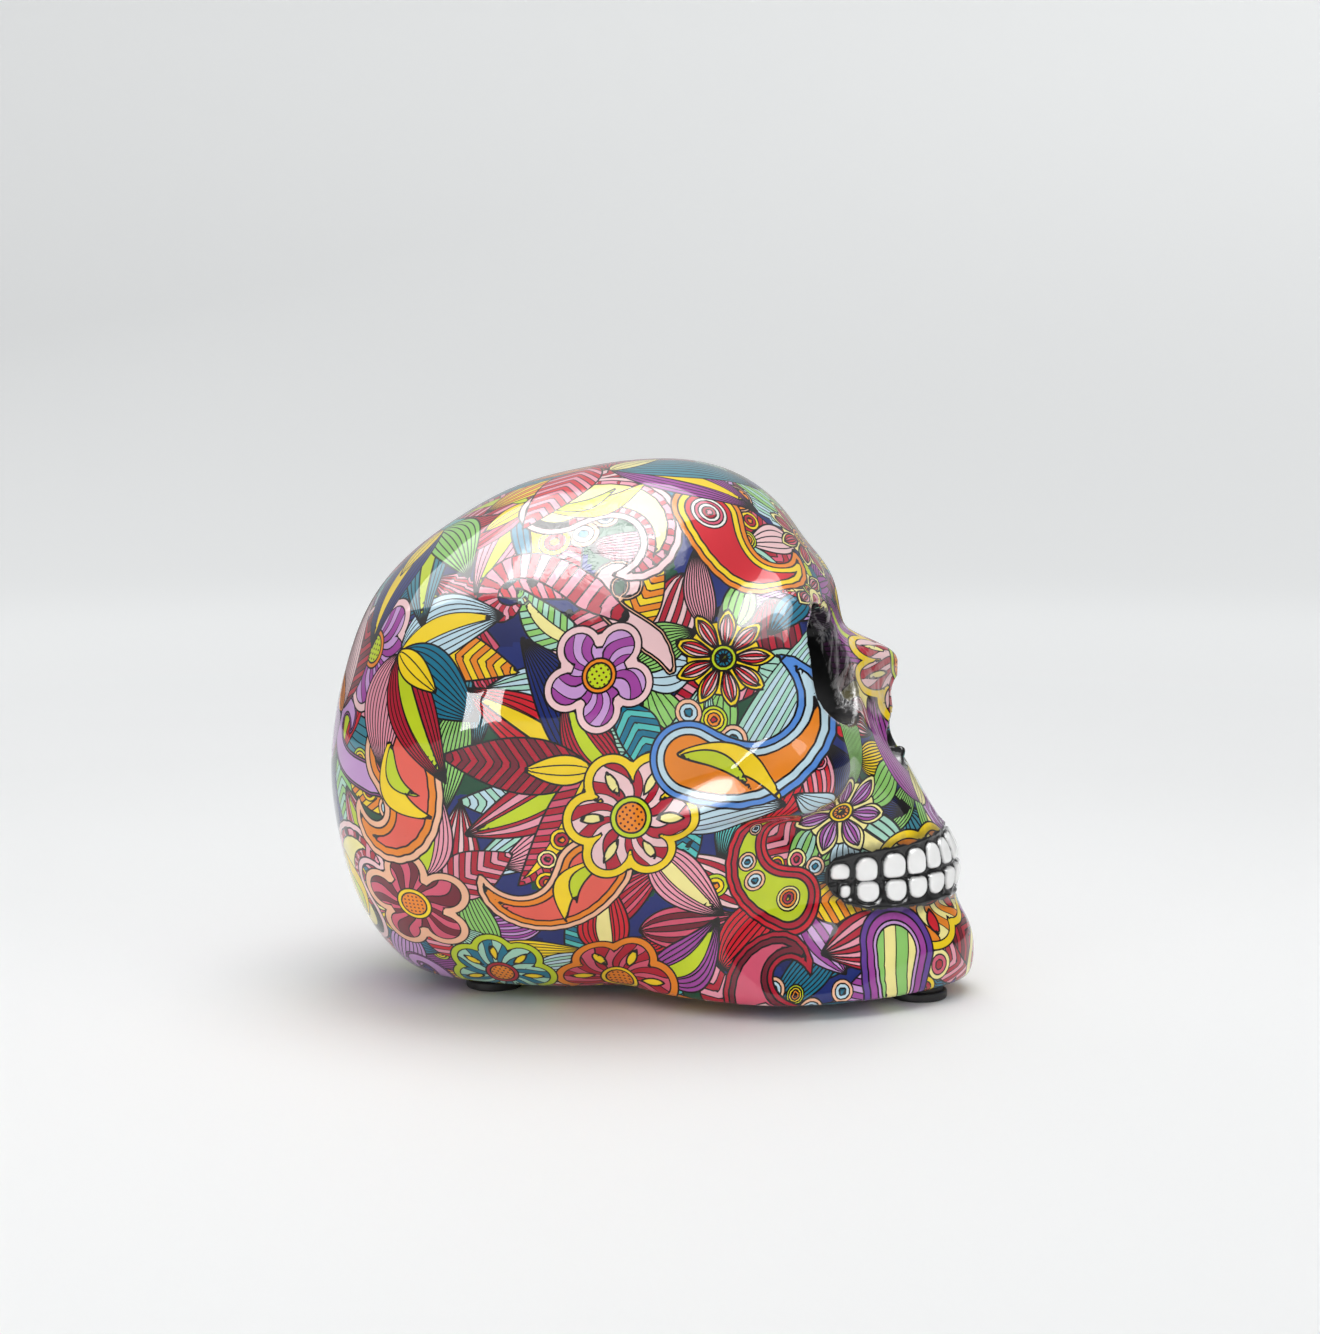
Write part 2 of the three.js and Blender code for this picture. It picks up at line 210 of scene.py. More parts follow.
def tooth_field(p):
    """Signed distance to the nearest tooth's edge (below 0 on a tooth), with the arch coordinates."""
    t, off, v = arch_place(p)
    z = p[:, 2]
    d = np.full(len(p), 9.0)
    for row in (UPPER, LOWER):
        for tc, zc, hw, hh in row:
            u, w = np.abs(t - tc) / hw, (z - zc) / hh * (1 if row is UPPER else -1)
            e = np.where(w > 0, 2.25, 3.6)      # rounded at the root, squarer at the biting edge
            k = (u**e + np.abs(w) ** e) ** (1 / e)
            d = np.minimum(d, (k - 1) * min(hw, hh))
    return d, t, v, off


def band_field(p, t, v, off):
    """Signed distance to the edge of the black paint round the teeth (below 0 on the paint)."""
    d = np.maximum(p[:, 2] - np.interp(t, *BAND_TOP), np.interp(t, *BAND_LOW) - p[:, 2])
    d = smax(d, t - 52.6, 2.0)
    return np.where((off < 16) & (p[:, 0] > 44), d, 20.0)


def uncut(p):
    """The casting before the sockets and the nasal opening are taken out."""
    p = np.array(p, float)
    p[:, 1] = np.sqrt(p[:, 1] ** 2 + 0.04)
    d = None
    for sign, f, a, b in MASSES:
        if sign > 0 or b == 18:
            v = f(p, *a)
            d = v if d is None else smin(d, v, b) if sign > 0 else smax(d, -v, b)
    return d


def paint_field(p, t, v, off):
    """Below 0 where the sockets, the nasal opening and the gums are painted black."""
    q = p.copy()
    q[:, 1] = np.abs(q[:, 1])
    depth = -uncut(q)
    # the nose side of a socket and its lower rim are left thinly painted
    inner = np.clip((24.5 - q[:, 1]) / 6, 0, 1) * np.clip((q[:, 2] - 84) / 8, 0, 1)
    orbit = np.maximum(1.0 + 7.0 * inner - depth, (sell(q, *ORBIT) - 1.2) * 2.5)
    orbit = np.where((q[:, 0] > 12) & (q[:, 2] > 82) & (q[:, 2] < 121), orbit, 20.0)
    lobe = (np.sqrt(((q[:, 0] - 57.5) / 5.5) ** 2 + ((q[:, 1] - 23.5) / 6.5) ** 2 + ((q[:, 2] - 86.3) / 5.2) ** 2) - 1) * 5
    orbit = np.minimum(orbit, np.maximum(lobe, 0.2 - depth))
    hole = np.minimum(ell(q, *NASAL_LOW), ell(q, *NASAL_HIGH))
    nose = np.maximum(np.where(q[:, 2] > 77, 2.2, 0.4) - depth, hole - 1.5)
    knob = np.linalg.norm(q - np.array([72.6, 0.0, 73.2]), axis=1) - 3.6
    return np.minimum(np.minimum(orbit, np.minimum(nose, knob)), band_field(p, t, v, off))


# lower edge of the cheekbone and its arch, and the hollow under it (x, |y|, z)
CHEEK = [(2, 60.2, 56.0), (8, 59, 57.5), (15, 57.6, 60), (22.7, 55.9, 61.6), (30.4, 54.6, 63.8), (35.7, 54.3, 67), (40, 54.5, 72), (44.6, 52.8, 79.6)]
HOLLOW = [(6, 58.4, 51.5), (15, 56.0, 53.6), (23, 53.2, 54.8), (31, 51.2, 57.0), (37.5, 51.0, 61.2)]
LAID = {}


def laid(line):
    """The line's points moved sideways onto the skin."""
    out = []
    for x, y, z in line:
        ys = np.arange(75.0, 25.0, -0.2)
        v = skin(np.stack([np.full(len(ys), float(x)), ys, np.full(len(ys), float(z))], 1))
        out.append((x, ys[int(np.argmax(v < 0))], z))
    return np.array(out, float)


def along(p, line):
    """Distance to a line of points, mm, and the place on it from 0 to 1."""
    L = line
    best, at = np.full(len(p), 1e9), np.zeros(len(p))
    for i in range(len(L) - 1):
        d = L[i + 1] - L[i]
        k = np.clip(((p - L[i]) @ d) / (d @ d), 0, 1)
        e = np.linalg.norm(p - L[i] - k[:, None] * d, axis=1)
        m = e < best
        best[m] = e[m]
        at[m] = (i + k[m]) / (len(L) - 1)
    return best, at


def cheek_relief(p):
    if not LAID:
        LAID.update(cheek=laid(CHEEK), hollow=laid(HOLLOW))
    q = p.copy()
    q[:, 1] = np.abs(q[:, 1])
    m = (q[:, 1] > 42) & (q[:, 0] > -8) & (q[:, 0] < 56) & (q[:, 2] > 40) & (q[:, 2] < 92)
    r = np.zeros(len(p))
    if m.any():
        d, s = along(q[m], LAID["cheek"])
        r[m] += 0.95 * np.exp(-((d / 2.3) ** 2)) * np.sin(PI * np.clip(s * 0.96 + 0.02, 0, 1)) ** 0.7
        d, s = along(q[m], LAID["hollow"])
        r[m] -= 1.5 * np.exp(-((d / 3.4) ** 2)) * np.sin(PI * np.clip(s * 0.94 + 0.03, 0, 1)) ** 0.8
    return r


def relief(p):
    """Height of the teeth and of the grooves round them over the plain skin, mm."""
    d, t, v, off = tooth_field(p)
    band = band_field(p, t, v, off)
    inside = np.clip(-band / 1.6, 0, 1)
    inside = inside * inside * (3 - 2 * inside)
    x = np.clip(-d / 1.5, 0, 1)
    bump = 0.80 * np.sqrt(x * (2 - x))
    groove = -0.55 * np.clip(1 - np.abs(d - 0.45) / 0.75, 0, 1)
    bite = -0.55 * np.exp(-((v / 0.55) ** 2)) * (t < 51.5)
    roots = 0.0
    for row, s in ((UPPER, 1), (LOWER, -1)):
        for tc, zc, hw, hh in row:
            u = (t - tc) / (hw * 0.62)
            w = np.clip(((p[:, 2] - zc) * s - hh * 0.6) / 5.5, 0, 1)
            roots = roots + 0.40 * np.exp(-u * u) * np.sin(PI * w) ** 2
    lip = 0.30 * np.clip(1 - np.abs(band + 0.6) / 1.0, 0, 1)
    teeth = np.where(band < 0.5, inside * (bump + groove + bite) + roots + lip, roots * np.clip(1 - band / 4, 0, 1) * (off < 16))
    return teeth + cheek_relief(p)


# ------------------------------------------------------------------ mesh of the skin
def field_on_grid(f, h, lo, hi):
    """f on a grid that is symmetric about y = 0, worked out only near the surface."""
    nx, ny, nz = (int(math.ceil((hi[0] - lo[0]) / h)) + 1, int(math.ceil(hi[1] / h)) + 1, int(math.ceil((hi[2] - lo[2]) / h)) + 1)
    xs, ys, zs = lo[0] + h * np.arange(nx), h * np.arange(ny), lo[2] + h * np.arange(nz)
    s = 4
    ci, cj, ck = np.arange(0, nx + s, s), np.arange(0, ny + s, s), np.arange(0, nz + s, s)
    g = np.meshgrid(lo[0] + h * ci, h * cj, lo[2] + h * ck, indexing="ij")
    coarse = f(np.stack([a.ravel() for a in g], 1)).reshape(g[0].shape)
    near = np.meshgrid(np.rint(np.arange(nx) / s).astype(int), np.rint(np.arange(ny) / s).astype(int), np.rint(np.arange(nz) / s).astype(int), indexing="ij")
    v = coarse[near[0], near[1], near[2]]
    todo = np.abs(v) < h * s * 0.9 * 1.6 + 1.5
    i, j, k = np.nonzero(todo)
    v[i, j, k] = f(np.stack([xs[i], ys[j], zs[k]], 1))
    v = np.concatenate([v[:, :0:-1, :], v], 1)
    return xs, np.concatenate([-ys[:0:-1], ys]), zs, v


def surface_net(xs, ys, zs, v):
    nx, ny, nz = v.shape
    s = v < 0
    c = np.zeros((nx - 1, ny - 1, nz - 1), int)
    for i in (0, 1):
        for j in (0, 1):
            for k in (0, 1):
                c += s[i : nx - 1 + i, j : ny - 1 + j, k : nz - 1 + k]
    act = (c > 0) & (c < 8)
    idx = -np.ones(act.shape, int)
    n = int(act.sum())
    idx[act] = np.arange(n)
    I, J, K = np.nonzero(act)
    acc, cnt = np.zeros((n, 3)), np.zeros(n)
    corners = [(i, j, k) for i in (0, 1) for j in (0, 1) for k in (0, 1)]
    for a in range(8):
        for b in range(a + 1, 8):
            A, B = corners[a], corners[b]
            if sum(abs(A[t] - B[t]) for t in range(3)) != 1:
                continue
            va, vb = v[I + A[0], J + A[1], K + A[2]], v[I + B[0], J + B[1], K + B[2]]
            m = (va < 0) != (vb < 0)
            t = np.where(m, va / np.where(m, va - vb, 1), 0)
            q = np.array(A)[None] + (np.array(B) - np.array(A))[None] * t[:, None]
            acc[m] += q[m]
            cnt[m] += 1
    acc /= cnt[:, None]
    V = np.stack([xs[I], ys[J], zs[K]], 1) + acc * (xs[1] - xs[0])
    quads = []
    for ax in range(3):
        s0, s1 = [slice(None)] * 3, [slice(None)] * 3
        s0[ax], s1[ax] = slice(0, -1), slice(1, None)
        a, b = s[tuple(s0)], s[tuple(s1)]
        o = [t for t in range(3) if t != ax]
        e = np.argwhere(a != b)
        e = e[(e[:, o[0]] > 0) & (e[:, o[0]] < v.shape[o[0]] - 1) & (e[:, o[1]] > 0) & (e[:, o[1]] < v.shape[o[1]] - 1)]

        def cell(d0, d1):
            q = e.copy()
            q[:, o[0]] -= d0
            q[:, o[1]] -= d1
            return idx[q[:, 0], q[:, 1], q[:, 2]]

        q = np.stack([cell(1, 1), cell(0, 1), cell(0, 0), cell(1, 0)], 1)
        flip = a[e[:, 0], e[:, 1], e[:, 2]]
        right = (ax, o[0], o[1]) in ((0, 1, 2), (1, 2, 0), (2, 0, 1))
        m = flip if right else ~flip
        q[~m] = q[~m][:, ::-1]
        quads.append(q)
    return V, np.concatenate(quads)


def slope(f, p, e=0.06):
    g = np.zeros_like(p)
    for i in range(3):
        d = np.zeros(3)
        d[i] = e
        g[:, i] = (f(p + d) - f(p - d)) / (2 * e)
    return g


def settle(f, V, n=2):
    for _ in range(n):
        v, g = f(V), slope(f, V)
        st = -(v / np.maximum((g * g).sum(1), 0.2))[:, None] * g
        L = np.linalg.norm(st, axis=1)
        V = V + st * np.minimum(1, 1.0 / np.maximum(L, 1e-9))[:, None]
    return V


def edges_of(F):
    E = np.concatenate([F[:, [0, 1]], F[:, [1, 2]], F[:, [2, 3]], F[:, [3, 0]]])
    return E[E[:, 0] != E[:, 1]]


def relax(f, V, F, n, keep=None):
    E = edges_of(F)
    cnt = np.bincount(E[:, 0], minlength=len(V)) + np.bincount(E[:, 1], minlength=len(V))
    for _ in range(n):
        s = np.stack([np.bincount(E[:, 0], V[E[:, 1], k], len(V)) + np.bincount(E[:, 1], V[E[:, 0], k], len(V)) for k in range(3)], 1)
        W = V + (s / cnt[:, None] - V) * 0.5
        if keep is None:
            V = settle(f, W, 1)
        else:
            V = V.copy()
            V[keep] = settle(f, W[keep], 1)
    return V


def refine(V, F, pick):
    """Splits the picked quads in four. A quad beside them with one or more split edges becomes triangles and quads."""
    tri = F[:, 2] == F[:, 3]
    pick = pick & ~tri
    n = len(V)
    E = np.concatenate([F[:, [0, 1]], F[:, [1, 2]], F[:, [2, 3]], F[:, [3, 0]]])
    key = np.minimum(E[:, 0], E[:, 1]) * n + np.maximum(E[:, 0], E[:, 1])
    m = len(F)
    split = np.unique(key[np.tile(pick, 4)])
    split = split[(split // n) != (split % n)]
    mid = n + np.arange(len(split))
    at = np.searchsorted(split, key)
    at = np.minimum(at, len(split) - 1)
    has = split[at] == key
    M = np.where(has, mid[at], -1).reshape(4, m).T
    V2 = [V, (V[split // n] + V[split % n]) / 2]
    f = np.nonzero(pick)[0]
    cen = n + len(split) + np.arange(len(f))
    V2.append(V[F[f]].mean(1))
    out = []
    for k in range(4):
        out.append(np.stack([F[f, k], M[f, k], cen, M[f, (k + 3) % 4]], 1))
    rest = np.nonzero(~pick)[0]
    plain = (M[rest] < 0).all(1)
    out.append(F[rest[plain]])
    fans = []
    for i in rest[~plain]:
        ring = []
        for k in range(4):
            if k == 3 and tri[i]:
                continue
            ring.append(F[i, k])
            if M[i, k] >= 0:
                ring.append(M[i, k])
        if tri[i]:
            ring = [r for j, r in enumerate(ring) if j == 0 or r != ring[j - 1]]
        mids = [j for j, r in enumerate(ring) if r >= n]
        ring = ring[mids[0] :] + ring[: mids[0]]
        for j in range(1, len(ring) - 1):
            fans.append([ring[0], ring[j], ring[j + 1], ring[j + 1]])
    if fans:
        out.append(np.array(fans))
    return np.concatenate(V2), np.concatenate(out)


def vertex_normals(V, F):
    a, b = V[F[:, 2]] - V[F[:, 0]], V[F[:, 3]] - V[F[:, 1]]
    fn = np.cross(a, b)
    t = F[:, 2] == F[:, 3]
    fn[t] = np.cross(V[F[t, 1]] - V[F[t, 0]], V[F[t, 2]] - V[F[t, 0]])
    N = np.zeros_like(V)
    for k in range(4):
        w = np.where(t & (k == 3), 0.0, 1.0)
        for j in range(3):
            N[:, j] += np.bincount(F[:, k], fn[:, j] * w, len(V))
    return N / np.maximum(np.linalg.norm(N, axis=1), 1e-12)[:, None]


def clean(F, n):
    E = edges_of(F)
    return np.unique(np.minimum(E[:, 0], E[:, 1]) * n + np.maximum(E[:, 0], E[:, 1]), return_counts=True)[1].max() == 2


def build_skin(h):
    # the grid is moved until no two sheets of the surface share an edge
    for ox, oz in ((0.35, 0.45), (0.35, 0.9), (0.7, 0.45), (0.7, 0.9), (0.0, 0.45), (0.15, 0.7), (0.5, 0.2)):
        V, F = surface_net(*field_on_grid(skin, h, (-100.0 + ox, 0.0, -1.0 + oz), (101.0, 70.0, 161.0)))
        if clean(F, len(V)):
            break
    V = settle(skin, V, 2)
    V = relax(skin, V, F, 3)
    for level, reach in ((0, 1.5), (1, 0.3)):
        C = V[F].mean(1)
        d, t, v, off = tooth_field(C)
        band = band_field(C, t, v, off)
        pick = band < reach
        if level == 0:
            rim = np.abs(np.hypot(C[:, 0] - DISC_X, C[:, 1]) - DISC_R) < 1.6
            pick |= rim & (C[:, 2] < 8)
            q = C.copy()
            q[:, 1] = np.abs(q[:, 1])
            pick |= (np.abs(ell(q, *NASAL_LOW)) < 2.2) & (C[:, 0] > 62) & (C[:, 2] < 92)
            pick |= (np.abs(ell(q, *NASAL_HIGH)) < 2.2) & (C[:, 0] > 62)
            pick |= (np.abs(cheek_relief(C)) > 0.35)
        n0 = len(V)
        V, F = refine(V, F, pick)
        V[n0:] = settle(skin, V[n0:], 2)
        touched = np.zeros(len(V), bool)
        touched[n0:] = True
        V = relax(skin, V, F, 2, np.nonzero(touched)[0])
    N = slope(skin, V)
    N /= np.maximum(np.linalg.norm(N, axis=1), 1e-9)[:, None]
    C = V
    r = relief(C)
    V = V + N * r[:, None]
    M = vertex_normals(V, F)
    near = np.abs(r) > 0.002
    # the relief's own slope comes from the fine mesh; elsewhere the smooth field gives the normals
    E = edges_of(F)
    w = near.astype(float)
    for _ in range(3):
        w = np.maximum(w, np.bincount(E[:, 0], w[E[:, 1]], len(V)) / np.maximum(np.bincount(E[:, 0], minlength=len(V)), 1) * 0.9)
    w = np.clip(w, 0, 1)[:, None]
    rim = (np.abs(recess(V)) < 1.2)[:, None]
    w = np.where(rim, 1.0, w)
    N = N * (1 - w) + M * w
    return V, F, N / np.linalg.norm(N, axis=1)[:, None]


# ------------------------------------------------------------------ colours of the print
PALETTE = dict(navy=(24, 40, 112), deep=(18, 28, 88), green=(8, 72, 44), crimson=(184, 20, 48), red=(216, 26, 44), maroon=(116, 22, 42),
               rose=(220, 88, 116), pink=(240, 158, 176), blush=(248, 206, 208), magenta=(164, 70, 160), violet=(100, 58, 152), lilac=(206, 158, 216),
               teal=(14, 116, 146), turq=(84, 196, 190), mint=(170, 220, 198), leaf=(148, 208, 110), lime=(200, 218, 30), yellow=(254, 218, 26),
               cream=(252, 240, 156), orange=(242, 138, 28), peach=(250, 192, 156), sky=(86, 142, 220), ice=(196, 224, 236), white=(248, 246, 240),
               ink=(15, 8, 11), brown=(80, 22, 18), coral=(238, 98, 82), steel=(64, 136, 154))


def linear(c):
    c = np.array(c, float) / 255
    return np.where(c <= 0.04045, c / 12.92, ((c + 0.055) / 1.055) ** 2.4)


COL = {k: linear(v) for k, v in PALETTE.items()}
PLAIN, LINES, ALT, DOTS, BANDS = 0, 1, 2, 3, 4
SLOTS = 6


class Chart:
    """Millimetre coordinates about a point of the skin, true along every ray from it."""

    def __init__(self, S, c, up, R):
        self.c = np.array(c, float)
        f = np.nonzero(((S.C - self.c) ** 2).sum(1) < R * R)[0]
        i = f[np.argmin(((S.C[f] - self.c) ** 2).sum(1))]
        n = S.FN[f].mean(0) * 0.4 + S.FN[i]
        n /= np.linalg.norm(n)
        f = f[(S.FN[f] @ n) > -0.05]
        up = np.array(up, float)
        ey = up - n * (up @ n)
        ey /= np.linalg.norm(ey)
        ex = np.cross(ey, n)
        self.f = f
        P = S.V[S.F[f]] - self.c
        u, w = P @ ex, P @ ey
        k = np.minimum(np.linalg.norm(P, axis=2) / (np.hypot(u, w) + 1e-6), 1.6)
        self.u, self.w = u * k, w * k
        self.cu, self.cw = self.u.mean(1), self.w.mean(1)

    def squeeze(self, k):
        """Draws what follows narrower by k, in one direction."""
        self.u, self.cu = self.u / k, self.cu / k


class Surface:
    """The skin's faces, and for each the top few layers of print that cross it."""

    def __init__(self, V, N, F):
        self.V, self.F = V, F
        self.C = V[F].mean(1)
        fn = N[F].sum(1)
        self.FN = fn / np.linalg.norm(fn, axis=1)[:, None]
        m = len(F)
        self.size = np.linalg.norm(V[F[:, 0]] - V[F[:, 2]], axis=1)
        self.cnt, self.cov = np.zeros(m, np.int8), np.zeros(m, bool)
        self.P = np.zeros((SLOTS, m, 4, 3), np.float32)
        self.P[..., 0] = 9.0
        self.A, self.B = np.zeros((SLOTS, m, 4), np.float32), np.zeros((SLOTS, m, 4), np.float32)
        self.layers = []

    def add(self, z, ch, fn, A, B=None, style=PLAIN, w=0.29, period=0):
        f, box = fn
        self.layers.append((z, len(self.layers), ch, f, box, A, B or A, style, w, period))

    def flush(self):
        """Lays the waiting layers down from the top: a face under a closed layer takes nothing more."""
        self.layers.sort(key=lambda a: (-a[0], -a[1]))
        for z, _, ch, fn, (bx, by, br), A, B, style, w, period in self.layers:
            live = np.nonzero(~self.cov[ch.f] & ((ch.cu - bx) ** 2 + (ch.cw - by) ** 2 < (br + 1.6) ** 2))[0]
            if not len(live):
                continue
            d, q, g = fn(ch.u[live].ravel(), ch.w[live].ravel())
            d, q, g = d.reshape(-1, 4), q.reshape(-1, 4), g.reshape(-1, 4)
            t = d.min(1) < w + 0.15
            if not t.any():
                continue
            live, d, q, g = live[t], d[t], q[t], g[t]
            f = ch.f[live]
            k = self.cnt[f]
            if period:
                q = q[:, :1] + (q - q[:, :1] + period / 2) % period - period / 2
            self.P[k, f] = np.stack([d, q, g], 2)
            self.A[k, f, :3], self.A[k, f, 3] = COL[A], style
            self.B[k, f, :3], self.B[k, f, 3] = COL[B], w
            self.cnt[f] += 1
            self.cov[f[(d.max(1) < -(w + 0.15)) | (self.cnt[f] >= SLOTS)]] = True
        self.layers = []


# outlines: a function of the chart's mm giving distance, stripe coordinate and mm per stripe, with the circle that holds it
def put(u, w, x, y, a):
    c, s = math.cos(a), math.sin(a)
    du, dw = u - x, w - y
    return du * c + dw * s, -du * s + dw * c


def f_disc(x, y, r, spokes=0):
    def f(u, w):
        p = np.hypot(u - x, w - y)
        if not spokes:
            return p - r, p, p
        return p - r, np.arctan2(w - y, u - x) * spokes / (2 * PI), np.maximum(p, 0.5) * 2 * PI / spokes
    return f, (x, y, r)


def f_dots(base, pitch, ang=0.4):
    fb, box = base

    def f(u, w):
        X, Y = put(u, w, 0, 0, ang)
        return fb(u, w)[0], (X + Y) / (pitch * 1.414), (X - Y) / (pitch * 1.414)
    return f, box


def off(base, o):
    fb, (x, y, r) = base

    def f(u, w):
        d, q, g = fb(u, w)
        return d + o, q, g
    return f, (x, y, max(r - o, 0.5) if o < 0 else r)


def f_leaf(x, y, a, L, W, n=6, bend=0.0, p=0.75, kind="long", pitch=2.4, saw=0):
    def f(u, w):
        X, Y = put(u, w, x, y, a)
        t = np.clip(X / L, 0, 1)
        yc = bend * np.sin(PI * t)
        h = W * np.abs(np.sin(PI * t**p)) ** 0.9
        if saw:
            h = h * (1 - 0.30 * ((t * saw) % 1.0) * (t > 0.12))
        h2 = W * np.abs(np.sin(PI * np.clip(t + 1e-3, 0, 1) ** p)) ** 0.9
        sl = (h2 - W * np.abs(np.sin(PI * t**p)) ** 0.9) / (1e-3 * L)
        e = (np.abs(Y - yc) - h) / np.sqrt(1 + np.minimum(sl * sl, 9))
        ox = X - np.clip(X, 0, L)
        d = np.where(ox == 0, e, np.hypot(ox, np.maximum(np.abs(Y - yc) - h, 0)))
        if kind == "long":
            return d, (Y - yc) / np.maximum(h, 0.25) * n / 2 + 0.5 * (n % 2), np.maximum(h, 0.25) * 2 / n
        if kind == "cross":
            return d, X / pitch, 0 * X + pitch
        return d, (X - 0.8 * np.abs(Y - yc)) / pitch, 0 * X + pitch * 0.78
    return f, (x + math.cos(a) * L / 2, y + math.sin(a) * L / 2, L / 2 + abs(bend) + W * 0.3)


def spine(L, W, curl, x, y, a, tip=0.35, k=14, e=1.4, fat=0.75):
    t = np.linspace(0, 1, k + 1)
    ph = a + curl * t**e
    P = np.zeros((k + 1, 2))
    P[0] = (x, y)
    for i in range(k):
        m = (ph[i] + ph[i + 1]) / 2
        P[i + 1] = P[i] + L / k * np.array([math.cos(m), math.sin(m)])
    return P, W * (1 - t) ** fat + tip, t


def f_spine(P, r, t, L, pitch=2.2, mode="along", n=4):
    def f(u, w):
        best, T, S, Rr = np.full(len(u), 1e9), np.zeros(len(u)), np.zeros(len(u)), np.ones(len(u))
        for i in range(len(P) - 1):
            d = P[i + 1] - P[i]
            dd = d @ d
            k = np.clip(((u - P[i, 0]) * d[0] + (w - P[i, 1]) * d[1]) / dd, 0, 1)
            ex, ey = u - P[i, 0] - k * d[0], w - P[i, 1] - k * d[1]
            rr = r[i] + (r[i + 1] - r[i]) * k
            D = np.hypot(ex, ey) - rr
            m = D < best
            best = np.where(m, D, best)
            T = np.where(m, t[i] + (t[i + 1] - t[i]) * k, T)
            S = np.where(m, (d[0] * ey - d[1] * ex) / math.sqrt(dd), S)
            Rr = np.where(m, rr, Rr)
        if mode == "along":
            return best, T * L / pitch, 0 * T + pitch
        if mode == "slant":
            return best, (T * L + 0.7 * np.abs(S)) / pitch, 0 * T + pitch * 0.82
        if mode == "skew":
            return best, (T * L + 0.9 * S) / pitch, 0 * T + pitch * 0.74
        return best, S / np.maximum(Rr, 0.3) * n / 2, np.maximum(Rr, 0.3) * 2 / n
    c = (P.min(0) + P.max(0)) / 2
    return f, (c[0], c[1], float(np.max(np.linalg.norm(P - c, axis=1) + r)))


def f_scallop(x, y, R, n, a0, lobe=0.42, spokes=24, shift=0.0):
    rho, aa = R * (1 - lobe), R * lobe

    def f(u, w):
        X, Y = u - x, w - y
        r, th = np.hypot(X, Y), np.arctan2(Y, X)
        ph = (th - a0 + PI / n) % (2 * PI / n) - PI / n
        d = np.minimum(np.hypot(r * np.cos(ph) - rho, r * np.sin(ph)) - aa, r - rho * 1.02)
        return d, (th - a0) * spokes / (2 * PI) + shift, np.maximum(r, 0.6) * 2 * PI / spokes
    return f, (x, y, R)


def cap(base, x, y, r):
    fb, box = base

    def f(u, w):
        d, q, g = fb(u, w)
        return np.maximum(d, np.hypot(u - x, w - y) - r), q, g
    return f, box


# motifs
def eye(S, ch, z, x, y, R, cols, w=0.22):
    for i, c in enumerate(cols):
        S.add(z + 0.01 * i, ch, f_disc(x, y, R * (1 - i / len(cols))), c, w=w)


def leaf(S, ch, z, x, y, a, L, W, A, B=None, n=6, bend=0, kind="long", pitch=2.4, saw=0, rib=None, p=0.75, style=None):
    st = style if style is not None else (ALT if B else LINES)
    S.add(z, ch, f_leaf(x, y, a, L, W, n, bend, p, kind, pitch, saw), A, B, st)
    if rib:
        S.add(z + 0.01, ch, f_leaf(x, y, a, L * 0.94, W * 0.30, 4, bend, p), rib, None, PLAIN, w=0.2)


def flower(S, ch, z, x, y, R, n, a0, c):
    S.add(z, ch, f_scallop(x, y, R, n, a0), c[0], w=0.3)
    m = 4 * n if n < 8 else 2 * n
    S.add(z + 0.01, ch, off(f_scallop(x, y, R, n, a0, spokes=m), R * 0.15), c[1], c[2], ALT, w=0.26, period=m)
    if c[8]:
        for i in range(n):
            b = a0 + (i + 0.5) * 2 * PI / n
            leaf(S, ch, z + 0.02, x + R * 0.30 * math.cos(b), y + R * 0.30 * math.sin(b), b, R * 0.46, R * 0.085, c[8], n=2, p=1.1, style=PLAIN)
    r2 = R * 0.52
    S.add(z + 0.03, ch, f_scallop(x, y, r2, n, a0 + PI / n), c[3])
    S.add(z + 0.04, ch, off(f_scallop(x, y, r2, n, a0 + PI / n, spokes=2 * n), r2 * 0.2), c[4], c[5], ALT, w=0.22, period=2 * n)
    S.add(z + 0.05, ch, f_disc(x, y, R * 0.21, 16), c[6], None, LINES, period=16)
    S.add(z + 0.06, ch, f_disc(x, y, R * 0.13), c[7])
    S.add(z + 0.07, ch, f_dots(f_disc(x, y, R * 0.11), 1.1), c[7], "brown", DOTS, w=0.0)


def sunburst(S, ch, z, x, y, R, n, a0, c, rng):
    """A scalloped rim round many bent rays and a dotted heart: c rim, ray pair, heart rings, dots."""
    rays = 2 * n + 2 * int(rng.integers(4, 7))
    sway, ph = rng.uniform(0.5, 0.9), rng.uniform(0, 6.28)
    S.add(z, ch, f_scallop(x, y, R, n, a0, lobe=0.40), c[0], w=0.28)
    fb, box = off(f_scallop(x, y, R, n, a0, lobe=0.40, spokes=rays), R * 0.13)

    def f(u, w):
        d, q, g = fb(u, w)
        r = np.hypot(u - x, w - y)
        return d, q + sway * np.sin(r * 5.0 / R + ph) + 0.35 * np.sin(3 * np.arctan2(w - y, u - x) + ph), g
    S.add(z + 0.01, ch, (f, box), c[1], c[2], ALT, w=0.24, period=rays)
    for i in range(n):
        b = a0 + i * 2 * PI / n
        if c[5]:
            leaf(S, ch, z + 0.02, x + R * 0.36 * math.cos(b), y + R * 0.36 * math.sin(b), b, R * 0.42, R * 0.07, c[5], n=2, p=1.0, style=PLAIN)
    S.add(z + 0.05, ch, f_disc(x, y, R * 0.30), c[3])
    S.add(z + 0.06, ch, f_disc(x, y, R * 0.22), c[4])
    S.add(z + 0.07, ch, f_dots(f_disc(x, y, R * 0.20), 1.5), c[4], "brown", DOTS, w=0.0)


